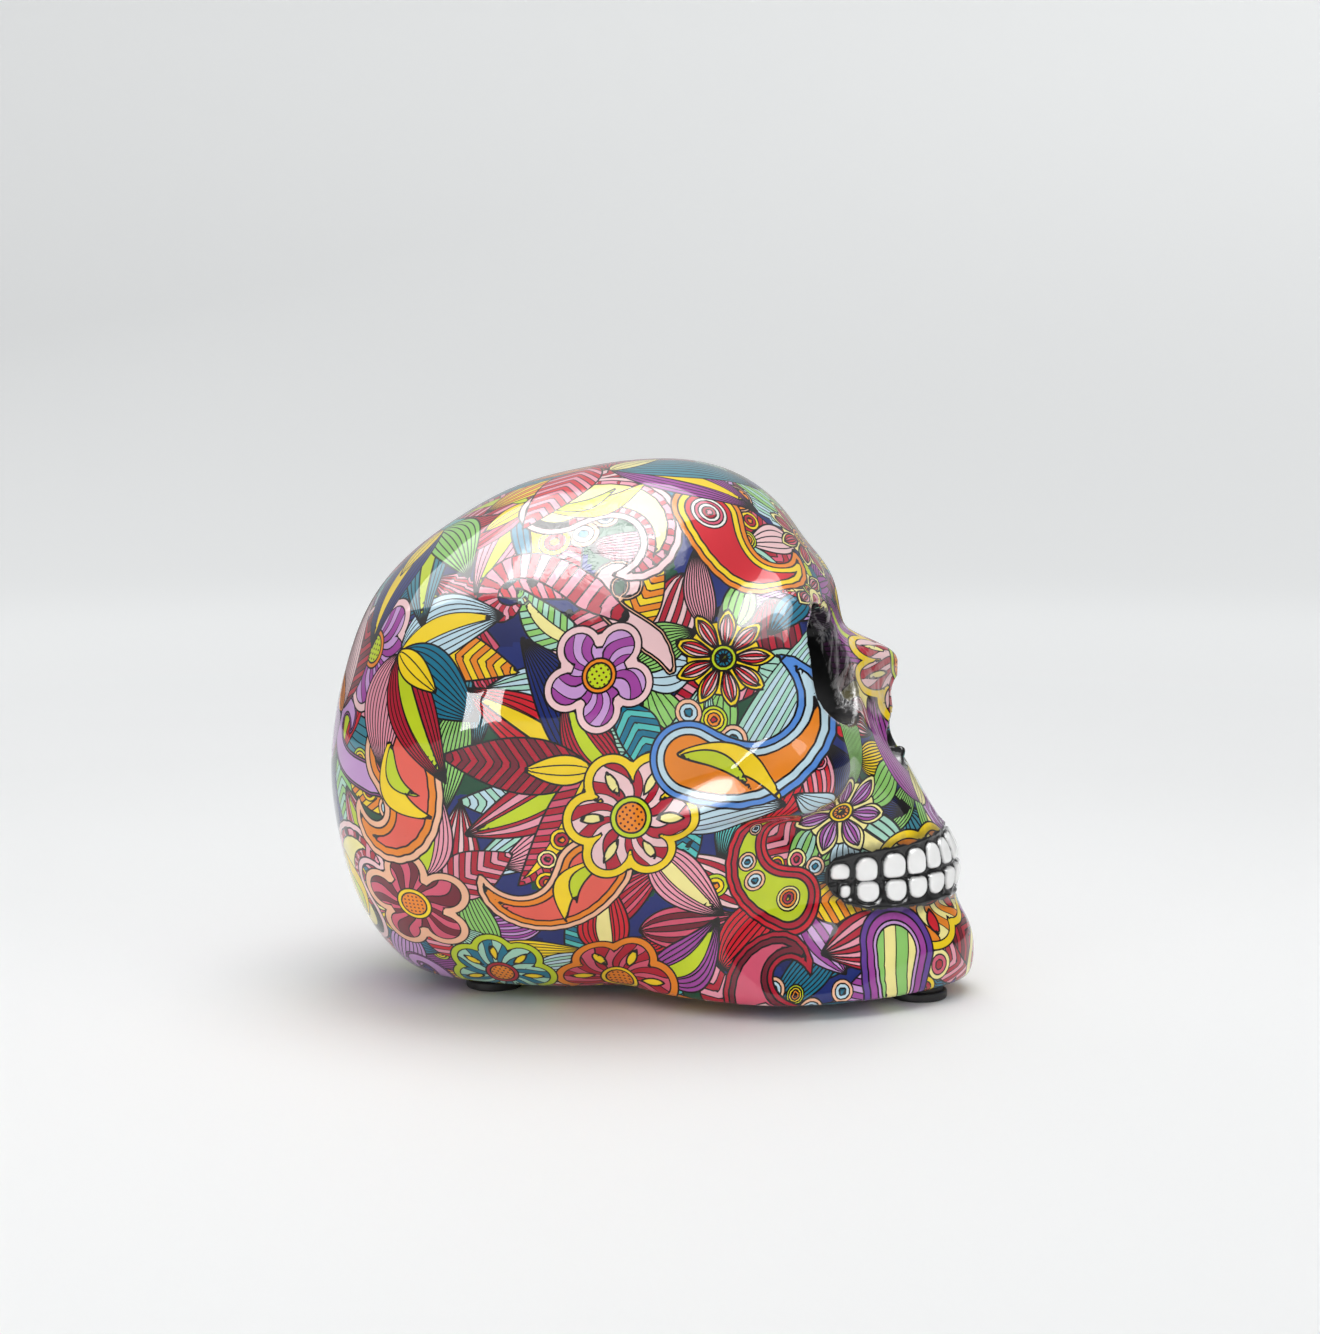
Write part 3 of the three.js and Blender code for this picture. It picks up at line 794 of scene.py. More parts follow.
def daisy(S, ch, z, x, y, R, n, a0, c):
    S.add(z, ch, f_scallop(x, y, R * 0.72, n, a0 + PI / n, lobe=0.3), c[2])
    for i in range(n):
        b = a0 + i * 2 * PI / n
        px, py = x + R * 0.12 * math.cos(b), y + R * 0.12 * math.sin(b)
        S.add(z + 0.02, ch, f_leaf(px, py, b, R * 0.88, R * 1.55 / n, n=4, p=1.35), c[2])
        S.add(z + 0.03, ch, f_leaf(px, py, b, R * 0.78, R * 1.15 / n, n=4, p=1.35), c[0], c[1], ALT, w=0.2)
    S.add(z + 0.05, ch, f_disc(x, y, R * 0.25), c[3])
    S.add(z + 0.06, ch, f_disc(x, y, R * 0.17, 12), c[4], None, LINES, period=12)
    S.add(z + 0.07, ch, f_disc(x, y, R * 0.08), c[3])


def paisley(S, ch, z, x, y, a, L, W, curl, cols, core, dot=False, mode="along"):
    P, r, t = spine(L, W, curl, x, y, a)
    base = f_spine(P, r, t, L, mode=mode)
    steps = [0, W * 0.17, W * 0.36, W * 0.50]
    for i, c in enumerate(cols):
        if isinstance(c, tuple):
            S.add(z + 0.01 * i, ch, off(base, steps[i]), c[0], c[1], ALT)
        elif dot and i == 1:
            S.add(z + 0.01 * i, ch, f_dots(off(base, steps[i]), 2.3), c, "ink", DOTS)
        else:
            S.add(z + 0.01 * i, ch, off(base, steps[i]), c)
    last = steps[len(cols) - 1]
    inner, ri = off(base, last + W * 0.10), W * 0.90 - last
    if core == "moons":
        for j, c in enumerate(["blush", "pink", "sky", "maroon"]):
            S.add(z + 0.05 + 0.01 * j, ch, cap(inner, x - math.cos(a) * ri * 0.25, y - math.sin(a) * ri * 0.25, ri * (1.9 - 0.42 * j)), c)
    elif core == "eye":
        eye(S, ch, z + 0.05, x, y, ri * 0.72, ["cream", "orange", "crimson", "yellow"])
        for j in range(3):
            k = int((0.32 + 0.17 * j) * (len(P) - 1))
            eye(S, ch, z + 0.06, P[k, 0], P[k, 1], r[k] * 0.42, ["peach", "ice", "teal"])
    elif core == "flame":
        S.add(z + 0.05, ch, f_leaf(x - math.cos(a) * ri * 0.7, y - math.sin(a) * ri * 0.7, a, L * 0.52, ri * 0.62, n=2, bend=curl * 2.0), "yellow")
        S.add(z + 0.06, ch, f_leaf(x - math.cos(a) * ri * 0.5, y - math.sin(a) * ri * 0.5, a, L * 0.34, ri * 0.36, n=2, bend=curl * 1.2), "lime")
    elif core == "rings":
        eye(S, ch, z + 0.05, x, y, ri * 0.95, ["white", "rose", "white", "crimson", "pink"])
    elif core == "lines":
        S.add(z + 0.05, ch, off(f_spine(P, r, t, L, mode="long", n=6), last + W * 0.10), "leaf", "cream", ALT)


def curl_points(x, y, a, L, swing, k=22, e=2.2, s0=0.0):
    t = np.linspace(0, 1, k + 1)
    ph = a + s0 * np.sin(2 * PI * t * 0.8) + swing * t**e
    P = np.zeros((k + 1, 2))
    P[0] = (x, y)
    st = L / k * (1.35 - 0.75 * t)
    for i in range(k):
        m = (ph[i] + ph[i + 1]) / 2
        P[i + 1] = P[i] + st[i] * np.array([math.cos(m), math.sin(m)])
    return P


def ribbon(S, ch, z, P, r0, r1, A, B=None, edge=None, dots=False, mode="along", pitch=2.0):
    k = len(P) - 1
    t = np.linspace(0, 1, k + 1)
    r = (r0 + (r1 - r0) * t) * np.minimum(1, 0.35 + 1.6 * np.sin(PI * t))
    L = np.linalg.norm(np.diff(P, axis=0), axis=1).sum()
    b = f_spine(P, r, t, L, mode=mode, pitch=pitch)
    if edge:
        S.add(z, ch, b, edge)
        b = off(b, 0.8)
    if dots:
        S.add(z + 0.01, ch, f_dots(b, 2.0), A, "ink", DOTS)
    elif B:
        S.add(z + 0.01, ch, b, A, B, ALT)
    else:
        S.add(z + 0.01, ch, b, A)


# clusters
COOL = [("mint", None), ("teal", None), ("pink", None), ("mint", None), ("magenta", None), ("leaf", "mint"), ("steel", None), ("lilac", None), ("teal", None), ("turq", None),
        ("ice", None), ("leaf", None), ("magenta", None), ("teal", "turq"), ("pink", None), ("mint", "ice"), ("lilac", "magenta"), ("leaf", None), ("navy", None), ("blush", None)]
WARM = [("crimson", "pink"), ("crimson", "blush"), ("maroon", "crimson"), ("crimson", None), ("orange", "yellow"), ("red", "pink"), ("crimson", "rose"), ("red", None), ("pink", "crimson"),
        ("yellow", None), ("maroon", "rose")]
BLOOMS = [("cream", "crimson", "pink", "yellow", "maroon", "crimson", "lime", "orange", "cream"),
          ("orange", "yellow", "orange", "cream", "red", "pink", "peach", "crimson", "cream"),
          ("yellow", "crimson", "rose", "orange", "crimson", "blush", "lime", "orange", "lime"),
          ("peach", "maroon", "rose", "yellow", "crimson", "orange", "cream", "crimson", "cream")]
BURSTS = [("cream", "crimson", "pink", "lime", "orange", None), ("yellow", "orange", "cream", "crimson", "yellow", "red"), ("orange", "crimson", "rose", "yellow", "orange", "yellow"),
          ("blush", "magenta", "lilac", "orange", "lime", None), ("yellow", "crimson", "blush", "lime", "orange", "cream"), ("peach", "maroon", "rose", "yellow", "orange", None),
          ("lime", "teal", "mint", "crimson", "orange", "yellow")]
DAISIES = [("crimson", "pink", "cream", "lime", "orange"), ("magenta", "lilac", "cream", "yellow", "orange"), ("red", "blush", "yellow", "lime", "teal"), ("red", "rose", "cream", "orange", "yellow")]
DROPS = [(["crimson", "maroon", "rose"], "moons"), (["violet", "magenta", "lilac"], "lines"), (["peach", "orange", "coral"], "flame"), (["red", "crimson", "lime"], "eye"),
         (["lilac", "magenta", "violet"], "flame"), (["blush", ("crimson", "pink"), "cream"], "flame"), (["red", "peach", "rose"], "eye"), (["orange", "yellow", "red"], "rings"),
         (["crimson", ("lime", "yellow"), "red"], "moons"), (["sky", "ice", "orange"], "flame"), (["red", "crimson", "maroon"], "moons"), (["pink", "blush", "teal"], "lines")]
SCROLLS = [("sky", None, None, True), ("blush", None, "peach", False), ("violet", "magenta", "lilac", False), ("crimson", "pink", None, False),
           ("orange", None, "peach", True), ("lilac", None, "magenta", False), ("turq", None, "mint", False), ("red", None, "orange", False)]
DECKS = {}


def draw(rng, name, L):
    """The next of L from a shuffled deck, so that like motifs stay apart."""
    d = DECKS.setdefault(name, [])
    if not d:
        d.extend(int(i) for i in rng.permutation(len(L)))
    return L[d.pop()]


def pick(rng, L):
    return L[int(rng.integers(len(L)))]


def c_flower(S, p, up, R, rng, burst, nl=6):
    ch = Chart(S, p, up, R * 2.35)
    ch.squeeze(rng.uniform(0.80, 1.0))
    a0 = rng.uniform(0, 6.28)
    if burst:
        sunburst(S, ch, 5 + rng.uniform(0, 0.5), 0, 0, R, int(rng.integers(5, 8)), a0, draw(rng, "burst", BURSTS), rng)
    else:
        flower(S, ch, 5 + rng.uniform(0, 0.5), 0, 0, R, int(rng.integers(5, 8)), a0, draw(rng, "bloom", BLOOMS))
    for i in range(nl):
        a = a0 + 2 * PI * (i + rng.uniform(-0.22, 0.22)) / nl
        A, B = draw(rng, "cool", COOL) if rng.random() < 0.62 else draw(rng, "warm", WARM)
        L, W = R * rng.uniform(1.25, 1.7), R * rng.uniform(0.32, 0.42)
        leaf(S, ch, 2.5 + rng.uniform(0, 0.6), R * 0.62 * math.cos(a), R * 0.62 * math.sin(a), a + rng.uniform(-0.35, 0.35), L, W, A, B,
             n=int(rng.integers(7, 10) if B else rng.integers(8, 13)), bend=rng.uniform(-3.5, 3.5), kind="slant" if B and rng.random() < 0.6 else "long", rib=pick(rng, ["lime", "cream", None, None, None, None]))


def c_daisy(S, p, up, R, rng, k=None, nl=4):
    ch = Chart(S, p, up, R * 2.3)
    a0 = rng.uniform(0, 6.28)
    daisy(S, ch, 4.8 + rng.uniform(0, 0.4), 0, 0, R, int(rng.integers(7, 11)), a0, draw(rng, "daisy", DAISIES))
    for i in range(nl):
        a = a0 + 2 * PI * (i + rng.uniform(-0.25, 0.25)) / nl
        A, B = pick(rng, COOL)
        leaf(S, ch, 2.4 + rng.uniform(0, 0.6), R * 0.6 * math.cos(a), R * 0.6 * math.sin(a), a + rng.uniform(-0.4, 0.4), R * rng.uniform(1.1, 1.5),
             R * rng.uniform(0.32, 0.42), A, B, n=5, bend=rng.uniform(-2, 2))


def c_paisley(S, p, up, L, W, rng, ang=None, k=None):
    ch = Chart(S, p, up, L * 0.95 + W)
    a = rng.uniform(0, 6.28) if ang is None else ang
    sg = 1 if rng.random() < 0.5 else -1
    cols, core = draw(rng, "drop", DROPS)
    x, y = -math.cos(a) * L * 0.28, -math.sin(a) * L * 0.28
    paisley(S, ch, 3.6 + rng.uniform(0, 2.4), x, y, a, L, W, sg * rng.uniform(2.6, 4.2), cols, core, dot=rng.random() < 0.35, mode=pick(rng, ["slant", "along", "skew"]))
    for i in range(3):
        bb = a + PI + (i - 1) * 0.75 + rng.uniform(-0.15, 0.15)
        A, B = pick(rng, COOL) if i != 1 else pick(rng, WARM)
        leaf(S, ch, 2.2 + rng.uniform(0, 0.5), x + math.cos(bb) * W * 0.5, y + math.sin(bb) * W * 0.5, bb, W * rng.uniform(1.7, 2.3), W * rng.uniform(0.44, 0.62),
             A, B, n=5, bend=rng.uniform(-2, 2), kind="slant" if B and i == 1 else "long")
    for i in range(3):
        e, d = a + sg * (0.9 + 0.55 * i), W * 1.25
        eye(S, ch, 3.3 + 0.05 * i, x + math.cos(e) * d, y + math.sin(e) * d, W * rng.uniform(0.26, 0.38),
            pick(rng, [["yellow", "crimson", "orange"], ["lime", "yellow", "orange", "crimson"], ["peach", "ice", "teal"], ["cream", "rose", "crimson"]]))


def c_fan(S, p, up, L, rng, ang=None, n=5):
    ch = Chart(S, p, up, L * 1.25)
    a = rng.uniform(0, 6.28) if ang is None else ang
    o = rng.permutation(n)
    over = 2.9 if rng.random() < 0.3 else 0.0
    for i in range(n):
        A, B = draw(rng, "cool", COOL) if rng.random() < 0.6 else draw(rng, "warm", WARM)
        b = a + (i - (n - 1) / 2) * 0.52 + rng.uniform(-0.08, 0.08)
        leaf(S, ch, 2.8 + over + 0.1 * o[i], -math.cos(a) * L * 0.4, -math.sin(a) * L * 0.4, b, L * rng.uniform(0.85, 1.12), L * rng.uniform(0.19, 0.25), A, B,
             n=int(rng.integers(7, 10) if B else rng.integers(8, 13)), bend=(i - (n - 1) / 2) * 1.6, kind="slant" if B and rng.random() < 0.5 else "long", rib=pick(rng, [None, None, None, "yellow", "lime"]))
    leaf(S, ch, 3.4 + over, -math.cos(a) * L * 0.42, -math.sin(a) * L * 0.42, a, L * 0.5, L * 0.11, pick(rng, ["yellow", "orange", "cream"]), n=3)


def c_scroll(S, p, up, L, rng, ang=None, k=None):
    ch = Chart(S, p, up, L * 0.8)
    a = rng.uniform(0, 6.28) if ang is None else ang
    sg = 1 if rng.random() < 0.5 else -1
    P = curl_points(-math.cos(a) * L * 0.45, -math.sin(a) * L * 0.45, a, L, sg * rng.uniform(3.6, 5.0), s0=sg * rng.uniform(-0.9, -0.3))
    A, B, e, dots = draw(rng, "scroll", SCROLLS)
    ribbon(S, ch, 3.2 + rng.uniform(0, 2.8), P, L * 0.088, L * 0.036, A, B, e, dots, mode=pick(rng, ["along", "slant"]), pitch=2.3)


def layout(S):
    rng = np.random.default_rng(SEED)
    C, taken = S.C, []
    order = rng.permutation(len(C))
    for i in order:
        p = C[i]
        if p[2] < 4.5 or (p[0] > 84 and 26 < p[2] < 52):
            continue
        if taken and any(((p - q) ** 2).sum() < (r + 15.0) ** 2 for q, r in taken):
            continue
        up = rng.normal(size=3)
        up /= np.linalg.norm(up)
        if abs(up @ S.FN[i]) > 0.9:
            continue
        k = rng.random()
        if k < 0.21:
            c_flower(S, p, up, rng.uniform(16, 22), rng, rng.random() < 0.62)
            taken.append((p, 17))
        elif k < 0.26:
            c_daisy(S, p, up, rng.uniform(11, 15), rng)
            taken.append((p, 11))
        elif k < 0.62:
            c_paisley(S, p, up, rng.uniform(44, 64), rng.uniform(9, 13), rng)
            taken.append((p, 12.5))
        elif k < 0.80:
            c_scroll(S, p, up, rng.uniform(48, 70), rng)
            taken.append((p, 9.5))
        else:
            c_fan(S, p, up, rng.uniform(32, 42), rng)
            taken.append((p, 12))
    S.flush()
    pts = np.zeros((0, 3))
    for i in order[::-1]:
        p = C[i]
        if S.cov[i] or p[2] < 4.2 or (len(pts) and (((pts - p) ** 2).sum(1) < 14.0**2).any()):
            continue
        pts = np.concatenate([pts, p[None]])
        ch = Chart(S, p, rng.normal(size=3), 26)
        a, L = rng.uniform(0, 6.28), rng.uniform(24, 38)
        W = L * rng.uniform(0.18, 0.25)
        A, B = draw(rng, "cool", COOL) if rng.random() < 0.6 else draw(rng, "warm", WARM)
        leaf(S, ch, 1 + rng.uniform(0, 1), -math.cos(a) * L / 2, -math.sin(a) * L / 2, a, L, W, A, B, n=int(rng.integers(7, 10) if B else rng.integers(8, 13)), bend=rng.uniform(-3, 3),
             kind=pick(rng, ["long", "long", "slant"]) if B else "long", saw=int(rng.integers(5, 8)) if rng.random() < 0.15 else 0)
        if rng.random() < 0.2:
            eye(S, ch, 1.9, rng.uniform(-6, 6), rng.uniform(-6, 6), rng.uniform(2.4, 3.8),
                pick(rng, [["lime", "yellow", "orange"], ["yellow", "crimson"], ["peach", "ice", "teal"], ["pink", "crimson", "cream"]]))
    S.flush()


def ground(C):
    v = (np.sin(C[:, 0] * 0.071 + 1.3) + np.sin(C[:, 1] * 0.083 + 0.4) + np.sin(C[:, 2] * 0.077 + 2.1)
         + 0.8 * np.sin((C[:, 0] + C[:, 2]) * 0.06) + 0.7 * np.sin((C[:, 1] - C[:, 2]) * 0.11))
    return v


# ------------------------------------------------------------------ shader helpers
class Tree:
    def __init__(self, tree):
        self.t = tree
        self.n = 0

    def new(self, kind, **props):
        node = self.t.nodes.new(kind)
        node.location = (180 * (self.n % 12), -160 * (self.n // 12))
        self.n += 1
        for k, v in props.items():
            setattr(node, k, v)
        return node

    def put(self, sock, value):
        if isinstance(value, bpy.types.NodeSocket):
            self.t.links.new(value, sock)
        elif value is not None:
            sock.default_value = value

    def math(self, op, a, b=None, c=None, clamp=False):
        node = self.new("ShaderNodeMath", operation=op, use_clamp=clamp)
        for s, v in zip(node.inputs, (a, b, c)):
            self.put(s, v)
        return node.outputs[0]

    def ramp(self, v, a, b, lo=0.0, hi=1.0, smooth=False):
        node = self.new("ShaderNodeMapRange", clamp=True)
        if smooth:
            node.interpolation_type = "SMOOTHSTEP"
        for s, x in zip(node.inputs, (v, a, b, lo, hi)):
            self.put(s, x)
        return node.outputs[0]

    def mix(self, f, a, b, blend="MIX"):
        node = self.new("ShaderNodeMix", data_type="RGBA", blend_type=blend)
        self.put(node.inputs[0], f)
        self.put(node.inputs[6], a)
        self.put(node.inputs[7], b)
        return node.outputs[2]

    def attr(self, name):
        return self.new("ShaderNodeAttribute", attribute_name=name)

    def noise(self, vec, scale, detail=2.0, rough=0.5, dist=0.0):
        node = self.new("ShaderNodeTexNoise")
        self.put(node.inputs["Vector"], vec)
        node.inputs["Scale"].default_value = scale
        node.inputs["Detail"].default_value = detail
        node.inputs["Roughness"].default_value = rough
        node.inputs["Distortion"].default_value = dist
        return node.outputs["Fac"]


def rgba(c):
    return (float(c[0]), float(c[1]), float(c[2]), 1.0)


def layer_group():
    """One layer of print over what is under it."""
    g = bpy.data.node_groups.new("print_layer", "ShaderNodeTree")
    face = g.interface
    for name, kind in (("Under", "NodeSocketColor"), ("Place", "NodeSocketVector"), ("First", "NodeSocketColor"), ("Style", "NodeSocketFloat"),
                       ("Second", "NodeSocketColor"), ("Outline", "NodeSocketFloat")):
        face.new_socket(name, in_out="INPUT", socket_type=kind)
    face.new_socket("Colour", in_out="OUTPUT", socket_type="NodeSocketColor")
    T = Tree(g)
    i = T.new("NodeGroupInput").outputs
    under, place, first, style, second, wide = (i[k] for k in range(6))
    sep = T.new("ShaderNodeSeparateXYZ")
    T.put(sep.inputs[0], place)
    d, s, m = sep.outputs
    ink = rgba(COL["ink"])

    def is_style(n):
        return T.math("COMPARE", style, float(n), 0.4)
    lines = T.math("ADD", is_style(LINES), is_style(ALT), clamp=True)
    alt = T.math("ADD", is_style(ALT), is_style(BANDS), clamp=True)
    parity = T.math("PINGPONG", T.math("FLOOR", s), 1.0)
    fill = T.mix(T.math("MULTIPLY", parity, alt), first, second)
    ps, pm = T.math("PINGPONG", s, 0.5), T.math("PINGPONG", m, 0.5)
    gap = T.math("MULTIPLY", ps, T.math("ABSOLUTE", m))
    fill = T.mix(T.math("MULTIPLY", T.ramp(gap, 0.16, 0.25, 1.0, 0.0), lines), fill, ink)
    rr = T.math("SQRT", T.math("ADD", T.math("MULTIPLY", ps, ps), T.math("MULTIPLY", pm, pm)))
    fill = T.mix(T.math("MULTIPLY", T.ramp(rr, 0.20, 0.26, 1.0, 0.0), is_style(DOTS)), fill, second)
    edge = T.ramp(T.math("ADD", d, wide), -0.05, 0.05)
    fill = T.mix(T.math("MULTIPLY", edge, T.math("GREATER_THAN", wide, 0.01)), fill, ink)
    cover = T.ramp(T.math("SUBTRACT", d, wide), -0.05, 0.05, 1.0, 0.0)
    out = T.new("NodeGroupOutput")
    T.put(out.inputs[0], T.mix(cover, under, fill))
    return g


def new_material(name):
    m = bpy.data.materials.new(name)
    m.use_nodes = True
    m.node_tree.nodes.clear()
    T = Tree(m.node_tree)
    b = T.new("ShaderNodeBsdfPrincipled")
    out = T.new("ShaderNodeOutputMaterial")
    T.t.links.new(b.outputs[0], out.inputs[0])
    return m, T, b


def skull_material():
    m, T, b = new_material("printed_lacquered_resin")
    at = T.new("ShaderNodeTexCoord").outputs["Object"]
    group = layer_group()
    # ground of the print
    gr = T.attr("ground").outputs["Fac"]
    col = T.mix(T.math("GREATER_THAN", gr, 0.9), rgba(COL["navy"]), rgba(COL["green"]))
    col = T.mix(T.math("LESS_THAN", gr, -1.4), col, rgba(COL["deep"]))
    for k in range(SLOTS - 1, -1, -1):
        P, A, B = T.attr("print_place_%d" % k), T.attr("print_first_%d" % k), T.attr("print_second_%d" % k)
        n = T.new("ShaderNodeGroup", node_tree=group)
        for s, v in zip(n.inputs, (col, P.outputs["Vector"], A.outputs["Color"], A.outputs["Alpha"], B.outputs["Color"], B.outputs["Alpha"])):
            T.put(s, v)
        col = n.outputs[0]
    # slow unevenness of the ink
    tone = T.ramp(T.noise(at, 45, 3.0), 0.3, 0.7, 0.90, 1.05)
    col = T.mix(1.0, col, T.new("ShaderNodeCombineColor").outputs[0], "MULTIPLY")
    cc = [n for n in m.node_tree.nodes if n.bl_idname == "ShaderNodeCombineColor"][0]
    for s in cc.inputs:
        T.put(s, tone)
    # thin, pale film over the nose bones
    fx = T.new("ShaderNodeMapping")
    T.put(fx.inputs[0], at)
    fx.inputs["Scale"].default_value = (1.0, 1.0, 0.35)
    streak = T.noise(fx.outputs[0], 260, 4.0, 0.6, 0.4)
    thin = T.math("MULTIPLY", T.attr("thin").outputs["Fac"], T.ramp(streak, 0.42, 0.66))
    col = T.mix(T.math("MULTIPLY", thin, 0.55), col, (0.72, 0.66, 0.66, 1))
    # black paint with a brushed edge and a dark haze beyond it
    pd = T.attr("paint").outputs["Fac"]
    wob = T.math("ADD", T.math("MULTIPLY", T.math("SUBTRACT", T.noise(at, 170, 3.0, 0.6), 0.5), T.math("ADD", T.math("MULTIPLY", T.attr("thin").outputs["Fac"], 7.0), 2.4)), T.math("MULTIPLY", T.math("SUBTRACT", T.noise(at, 900, 2.0), 0.5), 0.8))
    pw = T.math("ADD", pd, wob)
    haze = T.math("MULTIPLY", T.ramp(T.math("ADD", pd, T.math("MULTIPLY", wob, 1.4)), 0.2, 3.4, 1.0, 0.0, smooth=True), T.ramp(T.attr("gum").outputs["Fac"], 0.0, 1.0, 0.12, 0.62))
    col = T.mix(haze, col, (0.012, 0.014, 0.012, 1))
    black = T.ramp(pw, -0.12, 0.22, 1.0, 0.0)
    col = T.mix(black, col, (0.0065, 0.0065, 0.007, 1))
    # the nose side of a socket and its lower rim: rubbed, streaky paint
    scuff = T.attr("scuff").outputs["Fac"]
    rub = T.new("ShaderNodeMapping")
    T.put(rub.inputs[0], at)
    rub.inputs["Scale"].default_value = (1.0, 1.0, 0.22)
    rubbed = T.noise(rub.outputs[0], 420, 4.0, 0.65, 0.6)
    rc = T.mix(T.ramp(rubbed, 0.47, 0.61), (0.012, 0.012, 0.012, 1), (0.40, 0.39, 0.39, 1))
    col = T.mix(T.math("MULTIPLY", T.ramp(T.math("ADD", scuff, T.math("MULTIPLY", T.math("SUBTRACT", T.noise(at, 300, 3.0), 0.5), 1.2)), 0.30, 0.60), 0.85), col, rc)
    # teeth, painted by hand; painted shade greys each tooth toward its edge
    td = T.math("ADD", T.attr("tooth").outputs["Fac"], T.math("MULTIPLY", T.math("SUBTRACT", T.noise(at, 420, 2.0), 0.5), 0.45))
    white = T.math("MULTIPLY", T.ramp(td, -0.10, 0.10, 1.0, 0.0), T.ramp(pd, -0.2, 0.2, 1.0, 0.0))
    wc = T.mix(T.ramp(T.noise(at, 260, 3.0), 0.35, 0.7), (0.98, 0.98, 0.97, 1), (0.94, 0.94, 0.93, 1))
    # painted shade: grey toward the tooth's edge, where the raised tooth rounds over
    wc = T.mix(T.ramp(td, -0.45, 0.0), wc, (0.62, 0.62, 0.62, 1))
    col = T.mix(white, col, wc)
    T.put(b.inputs["Base Color"], col)
    T.put(b.inputs["Roughness"], T.mix_float(black, 0.40, 0.30))
    b.inputs["Specular IOR Level"].default_value = 0.12
    b.inputs["Coat Weight"].default_value = 1.0
    b.inputs["Coat Roughness"].default_value = 0.025
    b.inputs["Coat IOR"].default_value = 1.5
    # lacquer: slow orange peel, fine ripple of the film, a few dust nibs
    peel = T.noise(at, 55, 2.0, 0.45)
    fine = T.noise(at, 260, 2.0, 0.5)
    vor = T.new("ShaderNodeTexVoronoi", feature="F1")
    T.put(vor.inputs["Vector"], at)
    vor.inputs["Scale"].default_value = 95
    nib = T.math("MULTIPLY", T.ramp(vor.outputs["Distance"], 0.0, 0.045, 1.0, 0.0, smooth=True), T.math("GREATER_THAN", T.noise(at, 21, 0.0), 0.52))
    h = T.math("ADD", T.math("MULTIPLY", peel, 0.30), T.math("ADD", T.math("MULTIPLY", fine, 0.012), T.math("MULTIPLY", nib, 0.10)))
    brush = T.math("MULTIPLY", T.math("MULTIPLY", T.noise(at, 430, 2.0, 0.5, 0.8), 0.055), black)
    folds = T.math("ABSOLUTE", T.math("SUBTRACT", T.noise(at, 150, 3.0, 0.55, 1.6), 0.5))
    folds = T.math("MULTIPLY", T.ramp(folds, 0.0, 0.10, 1.0, 0.0, smooth=True), T.math("MULTIPLY", T.attr("crease").outputs["Fac"], 0.10))
    h = T.math("ADD", T.math("ADD", h, folds), T.math("ADD", brush, T.math("MULTIPLY", T.math("MULTIPLY", rubbed, 0.30), scuff)))
    bump = T.new("ShaderNodeBump")
    bump.inputs["Strength"].default_value = 1.0
    bump.inputs["Distance"].default_value = 0.001
    T.put(bump.inputs["Height"], h)
    T.put(b.inputs["Normal"], bump.outputs[0])
    T.put(b.inputs["Coat Normal"], bump.outputs[0])
    return m


def mix_float(self, f, a, b):
    node = self.new("ShaderNodeMix", data_type="FLOAT")
    self.put(node.inputs[0], f)
    self.put(node.inputs[2], a)
    self.put(node.inputs[3], b)
    return node.outputs[0]


Tree.mix_float = mix_float


def rubber_material():
    m, T, b = new_material("black_rubber")
    at = T.new("ShaderNodeTexCoord").outputs["Object"]
    T.put(b.inputs["Base Color"], T.mix(T.noise(at, 900, 3.0), (0.010, 0.010, 0.011, 1), (0.022, 0.022, 0.023, 1)))
    T.put(b.inputs["Roughness"], T.ramp(T.noise(at, 400, 3.0), 0.3, 0.7, 0.42, 0.58))
    bump = T.new("ShaderNodeBump")
    bump.inputs["Strength"].default_value = 0.4
    bump.inputs["Distance"].default_value = 0.0001
    T.put(bump.inputs["Height"], T.noise(at, 2600, 2.0))
    T.put(b.inputs["Normal"], bump.outputs[0])
    return m


def plain_material(name, c, rough, grain=1500, amount=0.00008, spread=0.12):
    m, T, b = new_material(name)
    at = T.new("ShaderNodeTexCoord").outputs["Object"]
    lo, hi = (tuple(min(1, x * k) for x in c) + (1,) for k in (1 - spread, 1 + spread))
    T.put(b.inputs["Base Color"], T.mix(T.noise(at, grain * 0.4, 3.0), lo, hi))
    b.inputs["Roughness"].default_value = rough
    bump = T.new("ShaderNodeBump")
    bump.inputs["Strength"].default_value = 0.5
    bump.inputs["Distance"].default_value = amount
    T.put(bump.inputs["Height"], T.noise(at, grain, 2.0))
    T.put(b.inputs["Normal"], bump.outputs[0])
    return m


# ------------------------------------------------------------------ meshes in Blender
def make_mesh(name, V, F, N=None):
    """V in millimetres, already in the model's frame. A face whose last two indices match is a triangle."""
    me = bpy.data.meshes.new(name)
    tri = F[:, 2] == F[:, 3]
    size = np.where(tri, 3, 4)
    start = np.concatenate([[0], np.cumsum(size)[:-1]])
    keep = np.ones(F.shape, bool)
    keep[tri, 3] = False
    me.vertices.add(len(V))
    me.vertices.foreach_set("co", (V * MM).astype(np.float32).ravel())
    me.loops.add(int(size.sum()))
    me.loops.foreach_set("vertex_index", F[keep].astype(np.int32))
    me.polygons.add(len(F))
    me.polygons.foreach_set("loop_start", start.astype(np.int32))
    me.update(calc_edges=True)
    me.polygons.foreach_set("use_smooth", np.ones(len(F), bool))
    if N is not None:
        me.normals_split_custom_set_from_vertices(N.astype(np.float32))
    ob = bpy.data.objects.new(name, me)
    bpy.context.scene.collection.objects.link(ob)
    return ob, keep


